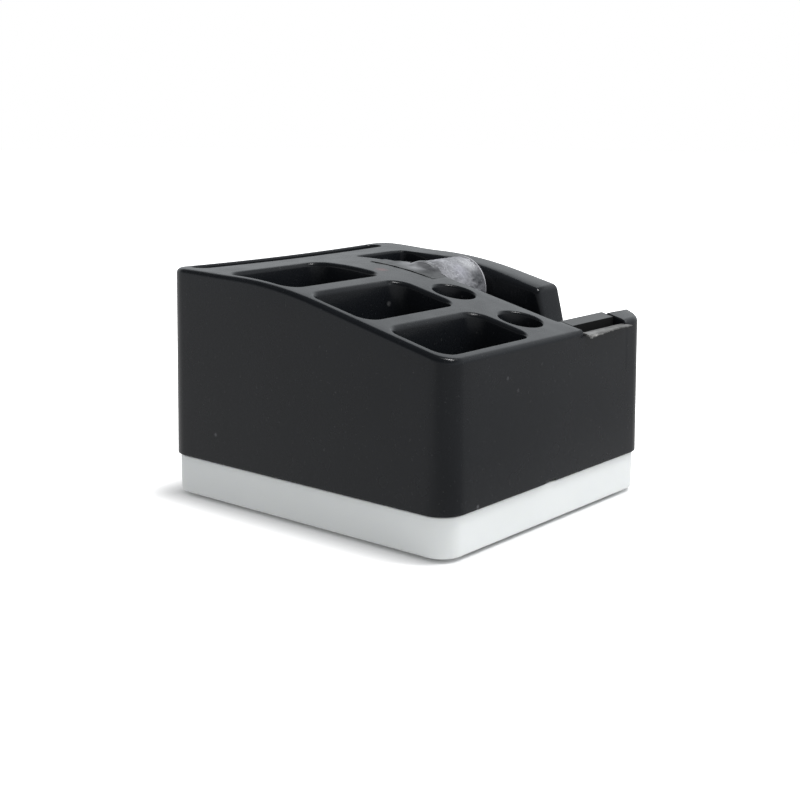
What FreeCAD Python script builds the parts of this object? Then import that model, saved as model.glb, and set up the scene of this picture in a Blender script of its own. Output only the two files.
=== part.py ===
import FreeCAD, Part
import math
import os
import re
import Sketcher

# A desk organizer: a black moulded housing with three bins, two pen wells and a tape channel, standing
# on a white drawer that slides out to the front along a flat base tongue.
#
# Every sub-part is drawn in the housing's frame: x runs from the left face to the right, y from the
# front face to the back and z up from the desk, with zero at the front left corner. Placements then
# bring the centre of the footprint to the document's origin.

SIZES = {
    # Housing, outside. Plan sizes are taken at the seam, where the drafted walls are widest.
    "body_width": 120.0,
    "body_depth": 130.5,
    "rear_height": 83.3,
    "front_height": 65.2,
    "deck_slope": 13.1,
    "bend_radius": 180.0,
    "seam_height": 15.6,
    "corner_radius": 9.1,
    "draft": 1.19,
    "rim_fillet": 1.8,
    # Housing, inside.
    "shell_wall": 3.4,
    "roof_wall": 2.4,
    "cup_wall": 1.8,
    # Three bins, one behind another.
    "bin_left": 5.0,
    "bin_side": 11.0,
    "bin_front": 5.0,
    "bin_web": 7.2,
    "front_bin_depth": 24.7,
    "middle_bin_depth": 26.9,
    "rear_bin_space": 27.3,
    "bin_floor": 29.0,
    "bin_corner": 6.0,
    "bin_lip": 0.9,
    # Pen wells.
    "well_side": 12.5,
    "well_front": 18.0,
    "well_spacing": 29.0,
    "well_radius": 7.7,
    "well_floor": 29.0,
    # Tape channel and the low side next to it.
    "channel_side": 15.5,
    "channel_width": 29.0,
    "channel_space": 25.3,
    "channel_floor": 38.0,
    "channel_corner": 2.5,
    "channel_lip": 1.0,
    "gap_front": 9.3,
    "gap_back": 39.3,
    "gap_floor": 46.0,
    # Card slot along the back.
    "slot_left": 8.0,
    "slot_side": 11.5,
    "slot_back": 4.7,
    "slot_width": 7.6,
    "slot_floor": 60.0,
    # Thumb notch in the front bottom edge.
    "notch_width": 7.6,
    "notch_height": 0.7,
    "notch_centre": 58.0,
    # Bottom cover with its screws and the ballast plate on it.
    "cover_recess": 0.3,
    "cover_thickness": 2.4,
    "cover_gap": 0.25,
    "boss_side": 8.8,
    "boss_inset": 7.6,
    "boss_top": 34.0,
    "pilot_gap": 0.05,
    "pilot_depth": 8.0,
    "screw_thread": 1.15,
    "screw_head": 2.6,
    "screw_head_height": 1.4,
    "screw_length": 9.0,
    "screw_hole_gap": 0.2,
    "ballast_side": 16.0,
    "ballast_space": 29.5,
    "ballast_thickness": 8.0,
    "ballast_front": 17.0,
    "rib_height": 3.0,
    "rib_thickness": 1.6,
    "rib_length": 14.0,
    "seat_gap": 0.15,
    # Cutter: a holder dropped into the front block, and the toothed blade that it clamps.
    "cutter_width": 27.0,
    "cutter_seat": 50.0,
    "cutter_fit": 0.1,
    "front_wall": 2.9,
    "holder_bar": 5.0,
    "holder_back": 11.0,
    "holder_foot": 5.0,
    "blade_thickness": 0.6,
    "blade_drop": 0.8,
    "blade_overhang": 2.8,
    "blade_lift": 0.8,
    "blade_bend": 0.9,
    "tooth_depth": 0.9,
    "tooth_count": 21,
    "cutter_screw_thread": 0.9,
    "cutter_screw_head": 1.6,
    "cutter_screw_length": 6.0,
    "cutter_screw_back": 5.0,
    # Tape reel and its pin.
    "axle_back": 73.3,
    "axle_rise": 6.3,
    "axle_radius": 2.5,
    "axle_reach": 1.2,
    "groove_depth": 1.4,
    "groove_gap": 0.1,
    "reel_length": 26.4,
    "flange_radius": 12.5,
    "flange_thickness": 1.0,
    "sleeve_radius": 10.7,
    "sleeve_wall": 1.5,
    "bore_gap": 0.07,
    "spigot_wall": 1.1,
    "spigot_length": 4.5,
    "spigot_gap": 0.05,
    "web_thickness": 1.6,
    "tape_thickness": 1.3,
    "tape_gap": 0.05,
    # The loose end of the tape, laid over the edge of the channel.
    "tail_reach": 8.3,
    "tail_lead": 13.3,
    "tail_length": 30.0,
    "tail_thickness": 0.2,
    "tail_gap": 0.1,
    # Drawer.
    "drawer_inset": 1.0,
    "drawer_bottom": 1.2,
    "drawer_gap": 0.35,
    "drawer_wall": 2.0,
    "drawer_floor": 1.6,
    "drawer_cheek": 13.0,
    "drawer_cut": 13.9,
    "drawer_edge": 0.9,
    "drawer_travel": 70.0,
    # Base tongue, with the upright block that carries the housing at the back.
    "tongue_bottom": 0.8,
    "tongue_thickness": 1.7,
    "tongue_gap": 0.3,
    "glide_gap": 0.15,
    "block_inset": 1.5,
    "block_screw_space": 5.6,
    "block_screw_side": 14.7,
    "block_wall": 2.0,
    "post_radius": 4.0,
    "long_screw_length": 22.0,
    "counterbore_depth": 2.4,
    "stop_width": 8.0,
    "stop_thickness": 2.0,
    "stop_drop": 3.4,
    "stop_side": 16.7,
    # Rubber feet.
    "foot_size": 9.0,
    "foot_recess": 0.7,
    "foot_side": 8.7,
    "foot_front": 15.0,
    "foot_space": 18.5,
}

doc = FreeCAD.newDocument("TapeOrganizer")
sheet = doc.addObject("Spreadsheet::Sheet", "Dims")
for row, (alias, value) in enumerate(SIZES.items(), start=1):
    sheet.set(f"A{row}", alias)
    sheet.set(f"B{row}", str(value))
    sheet.setAlias(f"B{row}", alias)
doc.recompute()

ALIAS = re.compile(r"\b(" + "|".join(SIZES) + r")\b")

# Sizes that several sub-parts share, as formulas of the sheet's cells.
SLOPE = "tan(deck_slope * 1 deg)"
CHANNEL_RIGHT = "(body_width - channel_side)"
CHANNEL_LEFT = "(body_width - channel_side - channel_width)"
CHANNEL_BACK = "(body_depth - channel_space)"
WELL_X = "(body_width - channel_side - channel_width - well_side)"
BIN_RIGHT = "(body_width - channel_side - channel_width - well_side - bin_side)"
MIDDLE_FRONT = "(bin_front + front_bin_depth + bin_web)"
MIDDLE_BACK = "(bin_front + front_bin_depth + bin_web + middle_bin_depth)"
REAR_FRONT = "(bin_front + front_bin_depth + 2 * bin_web + middle_bin_depth)"
REAR_BACK = "(body_depth - rear_bin_space)"
SLOT_FRONT = "(body_depth - slot_back - slot_width)"
CUTTER_LEFT = "(body_width - channel_side - cutter_fit - cutter_width)"
BLADE_TOP = "(front_height - blade_drop)"
COVER_BOTTOM = "(seam_height + cover_recess)"
COVER_TOP = "(seam_height + cover_recess + cover_thickness)"
TONGUE_TOP = "(tongue_bottom + tongue_thickness)"
TONGUE_LEFT = "(drawer_cheek + tongue_gap)"
TONGUE_RIGHT = "(body_width - drawer_cheek - tongue_gap)"
DRAWER_BACK = "(body_depth - drawer_cut)"
TRAY_UNDERSIDE = "(tongue_bottom + tongue_thickness + glide_gap)"
AXLE_HEIGHT = "(front_height + axle_rise)"
TAPE_RADIUS = "(sleeve_radius + tape_gap + tape_thickness)"
ABOVE = "(rear_height + 10)"


def bound(text):
    """A formula in alias names, written for an expression."""
    return ALIAS.sub(r"Dims.\1", text)


def number(text):
    """The present value of a formula in alias names."""
    result = sheet.evalExpression(bound(text))
    return float(getattr(result, "Value", result))


def deck_height(y):
    """Height of the deck at the distance y from the front."""
    angle = math.radians(number("deck_slope"))
    radius = number("bend_radius")
    top = number("rear_height")
    knee = (top - number("front_height")) / math.tan(angle)
    run = radius * math.tan(angle / 2)
    if y <= knee - run * math.cos(angle):
        return number("front_height") + y * math.tan(angle)
    if y >= knee + run:
        return top
    return top - radius + math.sqrt(radius ** 2 - (knee + run - y) ** 2)


# Sketch and feature helpers.

def new_body(label, x="-body_width / 2", y="(blade_overhang - body_depth) / 2", z="0"):
    body = doc.addObject("PartDesign::Body", label)
    body.Label = label
    body.setExpression("Placement.Base.x", bound(x))
    body.setExpression("Placement.Base.y", bound(y))
    body.setExpression("Placement.Base.z", bound(z))
    return body


def new_sketch(body, name, plane, offset="0"):
    support = [f for f in body.Origin.OriginFeatures if f.Role == plane][0]
    sketch = body.newObject("Sketcher::SketchObject", name)
    sketch.AttachmentSupport = [(support, "")]
    sketch.MapMode = "FlatFace"
    sketch.setExpression("AttachmentOffset.Base.z", bound(offset))
    return sketch


def place(sketch, geometry, point, u, v):
    """Hold one point of a sketch at the distances u and v from the sketch's origin."""
    for kind, text in (("DistanceX", u), ("DistanceY", v)):
        index = sketch.addConstraint(Sketcher.Constraint(kind, -1, 1, geometry, point, number(text)))
        sketch.setExpression(f"Constraints[{index}]", bound(text))


def size(sketch, kind, geometry, text):
    index = sketch.addConstraint(Sketcher.Constraint(kind, geometry, number(text)))
    sketch.setExpression(f"Constraints[{index}]", bound(text))


def polygon(sketch, corners):
    points = [FreeCAD.Vector(number(u), number(v), 0) for u, v in corners]
    first = sketch.GeometryCount
    count = len(points)
    for start, end in zip(points, points[1:] + points[:1]):
        sketch.addGeometry(Part.LineSegment(start, end))
    for step in range(count):
        following = first + (step + 1) % count
        sketch.addConstraint(Sketcher.Constraint("Coincident", first + step, 2, following, 1))
    for step, (u, v) in enumerate(corners):
        place(sketch, first + step, 1, u, v)


def rectangle(sketch, left, right, front, back):
    polygon(sketch, [(left, front), (right, front), (right, back), (left, back)])


def square(sketch, u, v, side):
    rectangle(sketch, f"{u} - {side} / 2", f"{u} + {side} / 2", f"{v} - {side} / 2", f"{v} + {side} / 2")


def hexagon(sketch, radius):
    """A six-sided outline about the sketch's origin, with corners at the given radius."""
    polygon(sketch, [(f"{radius} * cos({60 * k} deg)", f"{radius} * sin({60 * k} deg)") for k in range(6)])


def circle(sketch, u, v, radius):
    centre = FreeCAD.Vector(number(u), number(v), 0)
    index = sketch.addGeometry(Part.Circle(centre, FreeCAD.Vector(0, 0, 1), number(radius)))
    place(sketch, index, 3, u, v)
    size(sketch, "Radius", index, radius)


def rounded_rectangle(sketch, left, right, front, back, radius):
    x0, x1, y0, y1, r = [number(text) for text in (left, right, front, back, radius)]
    first = sketch.GeometryCount
    sides = [
        ((x0 + r, y0), (x1 - r, y0), (x1 - r, y0 + r)),
        ((x1, y0 + r), (x1, y1 - r), (x1 - r, y1 - r)),
        ((x1 - r, y1), (x0 + r, y1), (x0 + r, y1 - r)),
        ((x0, y1 - r), (x0, y0 + r), (x0 + r, y0 + r)),
    ]
    for step, (start, end, centre) in enumerate(sides):
        sketch.addGeometry(Part.LineSegment(FreeCAD.Vector(*start, 0), FreeCAD.Vector(*end, 0)))
        corner = Part.Circle(FreeCAD.Vector(*centre, 0), FreeCAD.Vector(0, 0, 1), r)
        turn = (step - 1) * math.pi / 2
        sketch.addGeometry(Part.ArcOfCircle(corner, turn, turn + math.pi / 2))
    for step in range(4):
        line = first + 2 * step
        following = first + (2 * step + 2) % 8
        sketch.addConstraint(Sketcher.Constraint("Tangent", line, 2, line + 1, 1))
        sketch.addConstraint(Sketcher.Constraint("Tangent", line + 1, 2, following, 1))
        sketch.addConstraint(Sketcher.Constraint("Horizontal" if step % 2 == 0 else "Vertical", line))
        if step:
            sketch.addConstraint(Sketcher.Constraint("Equal", first + 1, line + 1))
    size(sketch, "Radius", first + 1, radius)
    for kind, geometry, text in (
        ("DistanceY", first, front),
        ("DistanceX", first + 2, right),
        ("DistanceY", first + 4, back),
        ("DistanceX", first + 6, left),
    ):
        index = sketch.addConstraint(Sketcher.Constraint(kind, -1, 1, geometry, 1, number(text)))
        sketch.setExpression(f"Constraints[{index}]", bound(text))


def deck_outline(sketch, drop):
    """Everything above the deck, or above its parallel a given drop below it: slope, bend and flat."""
    angle = math.radians(number("deck_slope"))
    fall = number(drop)
    radius = number("bend_radius") - fall
    top = number("rear_height") - fall
    knee_run = number("bend_radius") * math.tan(angle / 2)
    centre_y = (number("rear_height") - number("front_height")) / math.tan(angle) + knee_run
    centre = FreeCAD.Vector(centre_y, top - radius, 0)
    low = FreeCAD.Vector(centre_y - radius * math.sin(angle), centre.y + radius * math.cos(angle), 0)
    near = FreeCAD.Vector(-10, low.y - (low.x + 10) * math.tan(angle), 0)
    high = FreeCAD.Vector(centre_y, top, 0)
    far_y = number("body_depth + 10")
    above = number(ABOVE)
    corners = [near] + [FreeCAD.Vector(u, v, 0) for u, v in ((-10, above), (far_y, above), (far_y, top))]
    ring = Part.Circle(centre, FreeCAD.Vector(0, 0, 1), radius)
    for start, end in zip(corners, corners[1:]):
        sketch.addGeometry(Part.LineSegment(start, end))
    sketch.addGeometry(Part.LineSegment(corners[3], high))
    sketch.addGeometry(Part.ArcOfCircle(ring, math.pi / 2, math.pi / 2 + angle))
    sketch.addGeometry(Part.LineSegment(near, low))
    for step in range(3):
        sketch.addConstraint(Sketcher.Constraint("Coincident", step, 2, step + 1, 1))
    sketch.addConstraint(Sketcher.Constraint("Tangent", 3, 2, 4, 1))
    sketch.addConstraint(Sketcher.Constraint("Tangent", 4, 2, 5, 2))
    sketch.addConstraint(Sketcher.Constraint("Coincident", 5, 1, 0, 1))
    for line, kind in ((0, "Vertical"), (1, "Horizontal"), (2, "Vertical"), (3, "Horizontal")):
        sketch.addConstraint(Sketcher.Constraint(kind, line))
    lowered = f"front_height - {drop} / cos(deck_slope * 1 deg) - 10 * {SLOPE}"
    place(sketch, 0, 1, "-10", lowered)
    place(sketch, 2, 1, "body_depth + 10", ABOVE)
    index = sketch.addConstraint(Sketcher.Constraint("DistanceY", -1, 1, 2, 2, top))
    sketch.setExpression(f"Constraints[{index}]", bound(f"rear_height - {drop}"))
    size(sketch, "Radius", 4, f"bend_radius - {drop}")
    index = sketch.addConstraint(Sketcher.Constraint("Angle", 5, angle))
    sketch.setExpression(f"Constraints[{index}]", bound("deck_slope * 1 deg"))


def groove_outline(sketch, gap):
    """An upright groove with a round bottom about the reel's axis."""
    y = number("axle_back")
    z = number(AXLE_HEIGHT)
    top = number(ABOVE)
    radius = number(f"axle_radius + {gap}")
    ring = Part.Circle(FreeCAD.Vector(y, z, 0), FreeCAD.Vector(0, 0, 1), radius)
    sketch.addGeometry(Part.ArcOfCircle(ring, math.pi, 2 * math.pi))
    corners = [
        FreeCAD.Vector(u, v, 0)
        for u, v in ((y + radius, z), (y + radius, top), (y - radius, top), (y - radius, z))]
    for start, end in zip(corners, corners[1:]):
        sketch.addGeometry(Part.LineSegment(start, end))
    sketch.addConstraint(Sketcher.Constraint("Tangent", 0, 2, 1, 1))
    sketch.addConstraint(Sketcher.Constraint("Coincident", 1, 2, 2, 1))
    sketch.addConstraint(Sketcher.Constraint("Coincident", 2, 2, 3, 1))
    sketch.addConstraint(Sketcher.Constraint("Tangent", 3, 2, 0, 1))
    sketch.addConstraint(Sketcher.Constraint("Vertical", 1))
    sketch.addConstraint(Sketcher.Constraint("Horizontal", 2))
    sketch.addConstraint(Sketcher.Constraint("Vertical", 3))
    place(sketch, 0, 3, "axle_back", AXLE_HEIGHT)
    size(sketch, "Radius", 0, f"axle_radius + {gap}")
    index = sketch.addConstraint(Sketcher.Constraint("DistanceY", -1, 1, 1, 2, top))
    sketch.setExpression(f"Constraints[{index}]", bound(ABOVE))


def extrude(body, kind, sketch, length, taper="0", backwards=False):
    feature = body.newObject(f"PartDesign::{kind}", f"{sketch.Name}{kind}")
    feature.Profile = sketch
    feature.setExpression("Length", bound(length))
    feature.setExpression("TaperAngle", bound(taper))
    feature.Reversed = backwards
    sketch.Visibility = False
    return feature


def through(body, sketch):
    feature = body.newObject("PartDesign::Pocket", f"{sketch.Name}Cut")
    feature.Profile = sketch
    feature.Type = "ThroughAll"
    feature.Midplane = True
    return feature


def edge_names(shape, test):
    """Names of the edges on which every sampled point passes the test."""
    found = []
    for index, edge in enumerate(shape.Edges, start=1):
        first, last = edge.ParameterRange
        points = [edge.valueAt(first + (last - first) * share) for share in (0.05, 0.3, 0.5, 0.7, 0.95)]
        if all(test(point) for point in points):
            found.append(f"Edge{index}")
    return found


def dress(body, kind, name, value, test):
    doc.recompute()
    base = body.Tip
    edges = edge_names(base.Shape, test)
    if not edges:
        raise RuntimeError(f"{name} found no edges")
    feature = body.newObject(f"PartDesign::{kind}", name)
    feature.Base = (base, edges)
    feature.setExpression("Radius" if kind == "Fillet" else "Size", bound(value))
    return feature


def screw(label, x, y, head_bottom, head, thread, length):
    """A six-sided screw that stands on its head: the shank goes up from the head's top by its length."""
    body = new_body(label, f"{x} - body_width / 2", f"{y} + (blade_overhang - body_depth) / 2", head_bottom)
    sketch = new_sketch(body, "Head", "XY_Plane")
    hexagon(sketch, head)
    extrude(body, "Pad", sketch, "screw_head_height")
    sketch = new_sketch(body, "Shank", "XY_Plane", "screw_head_height")
    hexagon(sketch, thread)
    extrude(body, "Pad", sketch, length)
    return body


def joined(label, bodies):
    group = doc.addObject("Part::Compound", label)
    group.Label = label
    group.Links = bodies
    return group


def turned_about_axle(label, corners):
    """A round sub-part about the pin, from its half section: distance from the reel's left end, radius."""
    body = new_body(label, REEL_LEFT, AXLE_BACK, AXLE_HEIGHT)
    sketch = new_sketch(body, "HalfSection", "XZ_Plane")
    polygon(sketch, corners)
    feature = body.newObject("PartDesign::Revolution", "Turned")
    feature.Profile = sketch
    feature.ReferenceAxis = (sketch, ["H_Axis"])
    feature.Angle = 360
    sketch.Visibility = False
    return body


# Tests that pick the edges to dress.

def face_inset(z):
    """How far the drafted outside stands back from its size at the seam, at the height z."""
    return (z - number("seam_height")) * math.tan(math.radians(number("draft")))


def on_outside(point, slack=0.02):
    """Whether a point lies on one of the four flat drafted sides or on a rounded corner."""
    inset = face_inset(point.z)
    x = min(point.x, number("body_width") - point.x) - inset
    y = min(point.y, number("body_depth") - point.y) - inset
    radius = number("corner_radius") - inset
    if x < radius and y < radius:
        return abs(math.hypot(radius - x, radius - y) - radius) < slack
    return min(x, y) < slack


def on_deck(point, slack=0.02):
    return abs(point.z - deck_height(point.y)) < slack


def in_bins(point):
    right = number(BIN_RIGHT) + 0.3
    return on_deck(point) and number("bin_left") - 0.3 < point.x < right and (
        number("bin_front") - 0.3 < point.y < number(REAR_BACK) + 0.3)


def in_channel(point):
    left, right = number(CHANNEL_LEFT) - 0.1, number(CHANNEL_RIGHT) + 0.1
    return on_deck(point) and left < point.x < right and (
        number("holder_back") < point.y < number(CHANNEL_BACK) + 0.1)


# Housing, outside: a drafted block, cut to the deck's profile and opened at the low side of the channel.

outside = new_body("housing_outside")
sketch = new_sketch(outside, "Footprint", "XY_Plane", "seam_height")
rounded_rectangle(sketch, "0", "body_width", "0", "body_depth", "corner_radius")
extrude(outside, "Pad", sketch, f"{ABOVE} - seam_height", "-draft")

sketch = new_sketch(outside, "Deck", "YZ_Plane")
deck_outline(sketch, "0")
through(outside, sketch)

dress(outside, "Fillet", "RimFillet", "rim_fillet", lambda point: on_deck(point) and on_outside(point))

# The arm beside the reel ends in a face at right angles to the sloping deck.
ARM_FOOT = f"(gap_back - (front_height + gap_back * {SLOPE} - gap_floor) * {SLOPE})"
ARM_HEAD = f"(gap_back + ({ABOVE} - front_height - gap_back * {SLOPE}) * {SLOPE})"
sketch = new_sketch(outside, "LowSide", "YZ_Plane", CHANNEL_RIGHT)
polygon(sketch, [
    ("gap_front", "gap_floor"),
    (ARM_FOOT, "gap_floor"),
    (ARM_HEAD, ABOVE),
    ("gap_front", ABOVE),
])
extrude(outside, "Pocket", sketch, "body_width", backwards=True)

# Housing, hollows seen from above.

BINS = [
    ("Front", "bin_front", "bin_front + front_bin_depth"),
    ("Middle", MIDDLE_FRONT, MIDDLE_BACK),
    ("Rear", REAR_FRONT, REAR_BACK),
]
for name, front, back in BINS:
    sketch = new_sketch(outside, f"{name}Bin", "XY_Plane", "rear_height")
    rounded_rectangle(sketch, "bin_left", BIN_RIGHT, front, back, "bin_corner")
    extrude(outside, "Pocket", sketch, "rear_height - bin_floor")

for name, y in (("Front", "well_front"), ("Back", "well_front + well_spacing")):
    sketch = new_sketch(outside, f"{name}Well", "XY_Plane", "rear_height")
    circle(sketch, WELL_X, y, "well_radius")
    extrude(outside, "Pocket", sketch, "rear_height - well_floor")

sketch = new_sketch(outside, "Channel", "XY_Plane", "rear_height")
rounded_rectangle(sketch, CHANNEL_LEFT, CHANNEL_RIGHT, "holder_back", CHANNEL_BACK, "channel_corner")
extrude(outside, "Pocket", sketch, "rear_height - channel_floor")

sketch = new_sketch(outside, "CardSlot", "XY_Plane", "rear_height")
rounded_rectangle(
    sketch, "slot_left", "body_width - slot_side", SLOT_FRONT, "body_depth - slot_back",
    "slot_width / 2 - 0.01")
extrude(outside, "Pocket", sketch, "rear_height - slot_floor")

sketch = new_sketch(outside, "CutterSeat", "XY_Plane", "rear_height")
rectangle(sketch, f"{CUTTER_LEFT} - cutter_fit", CHANNEL_RIGHT, "front_wall", "holder_back + channel_corner")
extrude(outside, "Pocket", sketch, "rear_height - cutter_seat")

CUTTER_SCREW = (f"({CUTTER_LEFT} + cutter_width / 2)", "cutter_screw_back")
sketch = new_sketch(outside, "SeatHole", "XY_Plane", "cutter_seat")
circle(sketch, *CUTTER_SCREW, "cutter_screw_thread + screw_hole_gap")
extrude(outside, "Pocket", sketch, "2 * cup_wall")

# The front wall is lowered where the blade lies on it.
LEDGE = f"({BLADE_TOP} - blade_thickness - cutter_fit)"
sketch = new_sketch(outside, "BladeLedge", "XY_Plane", LEDGE)
rectangle(
    sketch, f"{CUTTER_LEFT} - cutter_fit", CHANNEL_RIGHT, "-blade_overhang", "front_wall + holder_bar / 2")
extrude(outside, "Pocket", sketch, f"{ABOVE} - {LEDGE}", backwards=True)

COVER_SCREWS = [("boss_inset", "boss_inset"), ("body_width - boss_inset", "boss_inset")]
BLOCK_SCREWS = [
    (f"({TONGUE_LEFT} + block_screw_side)", "body_depth - block_screw_space"),
    (f"({TONGUE_RIGHT} - block_screw_side)", "body_depth - block_screw_space"),
]
sketch = new_sketch(outside, "Pilots", "XY_Plane", "seam_height")
for x, y in COVER_SCREWS + BLOCK_SCREWS:
    circle(sketch, x, y, "screw_thread + pilot_gap")
extrude(outside, "Pocket", sketch, f"{COVER_TOP} - seam_height + pilot_depth", backwards=True)

sketch = new_sketch(outside, "ThumbNotch", "XZ_Plane")
polygon(sketch, [
    ("notch_centre - notch_width / 2", "seam_height - 1"),
    ("notch_centre + notch_width / 2", "seam_height - 1"),
    ("notch_centre + notch_width / 2 - notch_height", "seam_height + notch_height"),
    ("notch_centre - notch_width / 2 + notch_height", "seam_height + notch_height"),
])
extrude(outside, "Pocket", sketch, "2 * shell_wall")

dress(outside, "Chamfer", "BinLip", "bin_lip", in_bins)
dress(outside, "Chamfer", "ChannelLip", "channel_lip", in_channel)

# Blind grooves in both walls of the channel, open at the top, for the ends of the reel's pin.
sketch = new_sketch(outside, "PinGroove", "YZ_Plane", f"{CHANNEL_LEFT} - groove_depth")
groove_outline(sketch, "groove_gap")
extrude(outside, "Pocket", sketch, "channel_width + 2 * groove_depth", backwards=True)


# Housing, inside: the space that the walls enclose, less the cups that hang from the roof into it.

core = new_body("housing_core")
sketch = new_sketch(core, "CoreFootprint", "XY_Plane", "seam_height")
rounded_rectangle(
    sketch, "shell_wall", "body_width - shell_wall", "shell_wall", "body_depth - shell_wall",
    "corner_radius - shell_wall")
extrude(core, "Pad", sketch, f"{ABOVE} - seam_height")

sketch = new_sketch(core, "RoofUnderside", "YZ_Plane")
deck_outline(sketch, "roof_wall")
through(core, sketch)

for name, front, back in BINS:
    sketch = new_sketch(core, f"{name}Cup", "XY_Plane", "bin_floor - cup_wall")
    rectangle(sketch, "0", f"{BIN_RIGHT} + cup_wall", f"{front} - cup_wall", f"{back} + cup_wall")
    extrude(core, "Pocket", sketch, ABOVE, backwards=True)

for name, y in (("Front", "well_front"), ("Back", "well_front + well_spacing")):
    sketch = new_sketch(core, f"{name}Tube", "XY_Plane", "well_floor - cup_wall")
    square(sketch, WELL_X, y, "(2 * well_radius + 2 * cup_wall)")
    extrude(core, "Pocket", sketch, ABOVE, backwards=True)

sketch = new_sketch(core, "ChannelCup", "XY_Plane", "channel_floor - cup_wall")
rectangle(
    sketch, f"{CHANNEL_LEFT} - cup_wall", f"{CHANNEL_RIGHT} + cup_wall", "holder_back - cup_wall",
    f"{CHANNEL_BACK} + cup_wall")
extrude(core, "Pocket", sketch, ABOVE, backwards=True)

sketch = new_sketch(core, "SlotCup", "XY_Plane", "slot_floor - cup_wall")
rectangle(
    sketch, "slot_left - cup_wall", "body_width - slot_side + cup_wall", f"{SLOT_FRONT} - cup_wall",
    "body_depth - slot_back + cup_wall")
extrude(core, "Pocket", sketch, ABOVE, backwards=True)

sketch = new_sketch(core, "CutterBlock", "XY_Plane", "cutter_seat - cup_wall")
rectangle(sketch, f"{CUTTER_LEFT} - cutter_fit - cup_wall", f"{CHANNEL_RIGHT} + cup_wall", "0", "holder_back")
extrude(core, "Pocket", sketch, ABOVE, backwards=True)

sketch = new_sketch(core, "LowSideCup", "YZ_Plane", CHANNEL_RIGHT)
polygon(sketch, [
    ("0", "gap_floor - cup_wall"),
    (f"{ARM_FOOT} + cup_wall", "gap_floor - cup_wall"),
    (f"{ARM_HEAD} + cup_wall", ABOVE),
    ("0", ABOVE),
])
extrude(core, "Pocket", sketch, "body_width", backwards=True)

sketch = new_sketch(core, "PinWalls", "YZ_Plane", f"{CHANNEL_LEFT} - groove_depth - cup_wall")
groove_outline(sketch, "groove_gap + cup_wall")
extrude(core, "Pocket", sketch, "channel_width + 2 * groove_depth + 2 * cup_wall", backwards=True)

sketch = new_sketch(core, "Bosses", "XY_Plane", COVER_TOP)
for x, y in COVER_SCREWS + BLOCK_SCREWS:
    square(sketch, x, y, "boss_side")
extrude(core, "Pocket", sketch, f"boss_top - {COVER_TOP}", backwards=True)

housing = doc.addObject("Part::Cut", "housing")
housing.Label = "housing"
housing.Base = outside
housing.Tool = core


# Bottom cover: a plate inside the housing's rim, screwed to the bosses, with ribs round the ballast
# and two lugs that stop the drawer.

BALLAST_LEFT = "ballast_side"
BALLAST_RIGHT = "(body_width - ballast_side)"
BALLAST_BACK = "(body_depth - ballast_space)"
BALLAST_MIDDLE = "((ballast_front + body_depth - ballast_space) / 2)"
STOP_BACK = f"({DRAWER_BACK} - drawer_wall - drawer_travel - seat_gap)"

cover = new_body("bottom_cover")
sketch = new_sketch(cover, "Plate", "XY_Plane", COVER_BOTTOM)
rounded_rectangle(
    sketch, "shell_wall + cover_gap", "body_width - shell_wall - cover_gap", "shell_wall + cover_gap",
    "body_depth - shell_wall - cover_gap", "corner_radius - shell_wall - cover_gap")
extrude(cover, "Pad", sketch, "cover_thickness")

sketch = new_sketch(cover, "Ribs", "XY_Plane", COVER_TOP)
for near, far in (
    (f"{BALLAST_LEFT} - seat_gap - rib_thickness", f"{BALLAST_LEFT} - seat_gap"),
    (f"{BALLAST_RIGHT} + seat_gap", f"{BALLAST_RIGHT} + seat_gap + rib_thickness"),
):
    rectangle(sketch, near, far, f"{BALLAST_MIDDLE} - rib_length / 2", f"{BALLAST_MIDDLE} + rib_length / 2")
for near, far in (
    ("ballast_front - seat_gap - rib_thickness", "ballast_front - seat_gap"),
    (f"{BALLAST_BACK} + seat_gap", f"{BALLAST_BACK} + seat_gap + rib_thickness"),
):
    rectangle(sketch, "body_width / 2 - rib_length / 2", "body_width / 2 + rib_length / 2", near, far)
extrude(cover, "Pad", sketch, "rib_height")

sketch = new_sketch(cover, "StopLugs", "XY_Plane", COVER_BOTTOM)
for middle in (f"{TONGUE_LEFT} + stop_side", f"{TONGUE_RIGHT} - stop_side"):
    rectangle(
        sketch, f"{middle} - stop_width / 2", f"{middle} + stop_width / 2",
        f"{STOP_BACK} - stop_thickness", STOP_BACK)
extrude(cover, "Pad", sketch, "stop_drop", backwards=True)

sketch = new_sketch(cover, "ScrewHoles", "XY_Plane", COVER_BOTTOM)
for x, y in COVER_SCREWS + BLOCK_SCREWS:
    circle(sketch, x, y, "screw_thread + screw_hole_gap")
extrude(cover, "Pocket", sketch, "cover_thickness", backwards=True)

cover_screws = joined("cover_screws", [
    screw(f"cover_screw_{index}", x, y, f"{COVER_BOTTOM} - screw_head_height",
          "screw_head", "screw_thread", "screw_length")
    for index, (x, y) in enumerate(COVER_SCREWS)
])


# Ballast: a sheared steel plate between the cover and the bins' floors.

ballast = new_body("ballast_weight")
sketch = new_sketch(ballast, "BallastPlate", "XY_Plane", COVER_TOP)
rectangle(sketch, BALLAST_LEFT, BALLAST_RIGHT, "ballast_front", BALLAST_BACK)
extrude(ballast, "Pad", sketch, "ballast_thickness")


# Base tongue: a flat plate under the drawer, and the block behind the drawer that carries the housing.

BLOCK_FRONT = f"({DRAWER_BACK} + tongue_gap)"
BLOCK_BACK = "(body_depth - block_inset)"

tongue = new_body("base_tongue")
sketch = new_sketch(tongue, "TonguePlate", "XY_Plane", "tongue_bottom")
rectangle(sketch, TONGUE_LEFT, TONGUE_RIGHT, "drawer_inset + drawer_wall + tongue_gap", BLOCK_BACK)
extrude(tongue, "Pad", sketch, "tongue_thickness")

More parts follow.
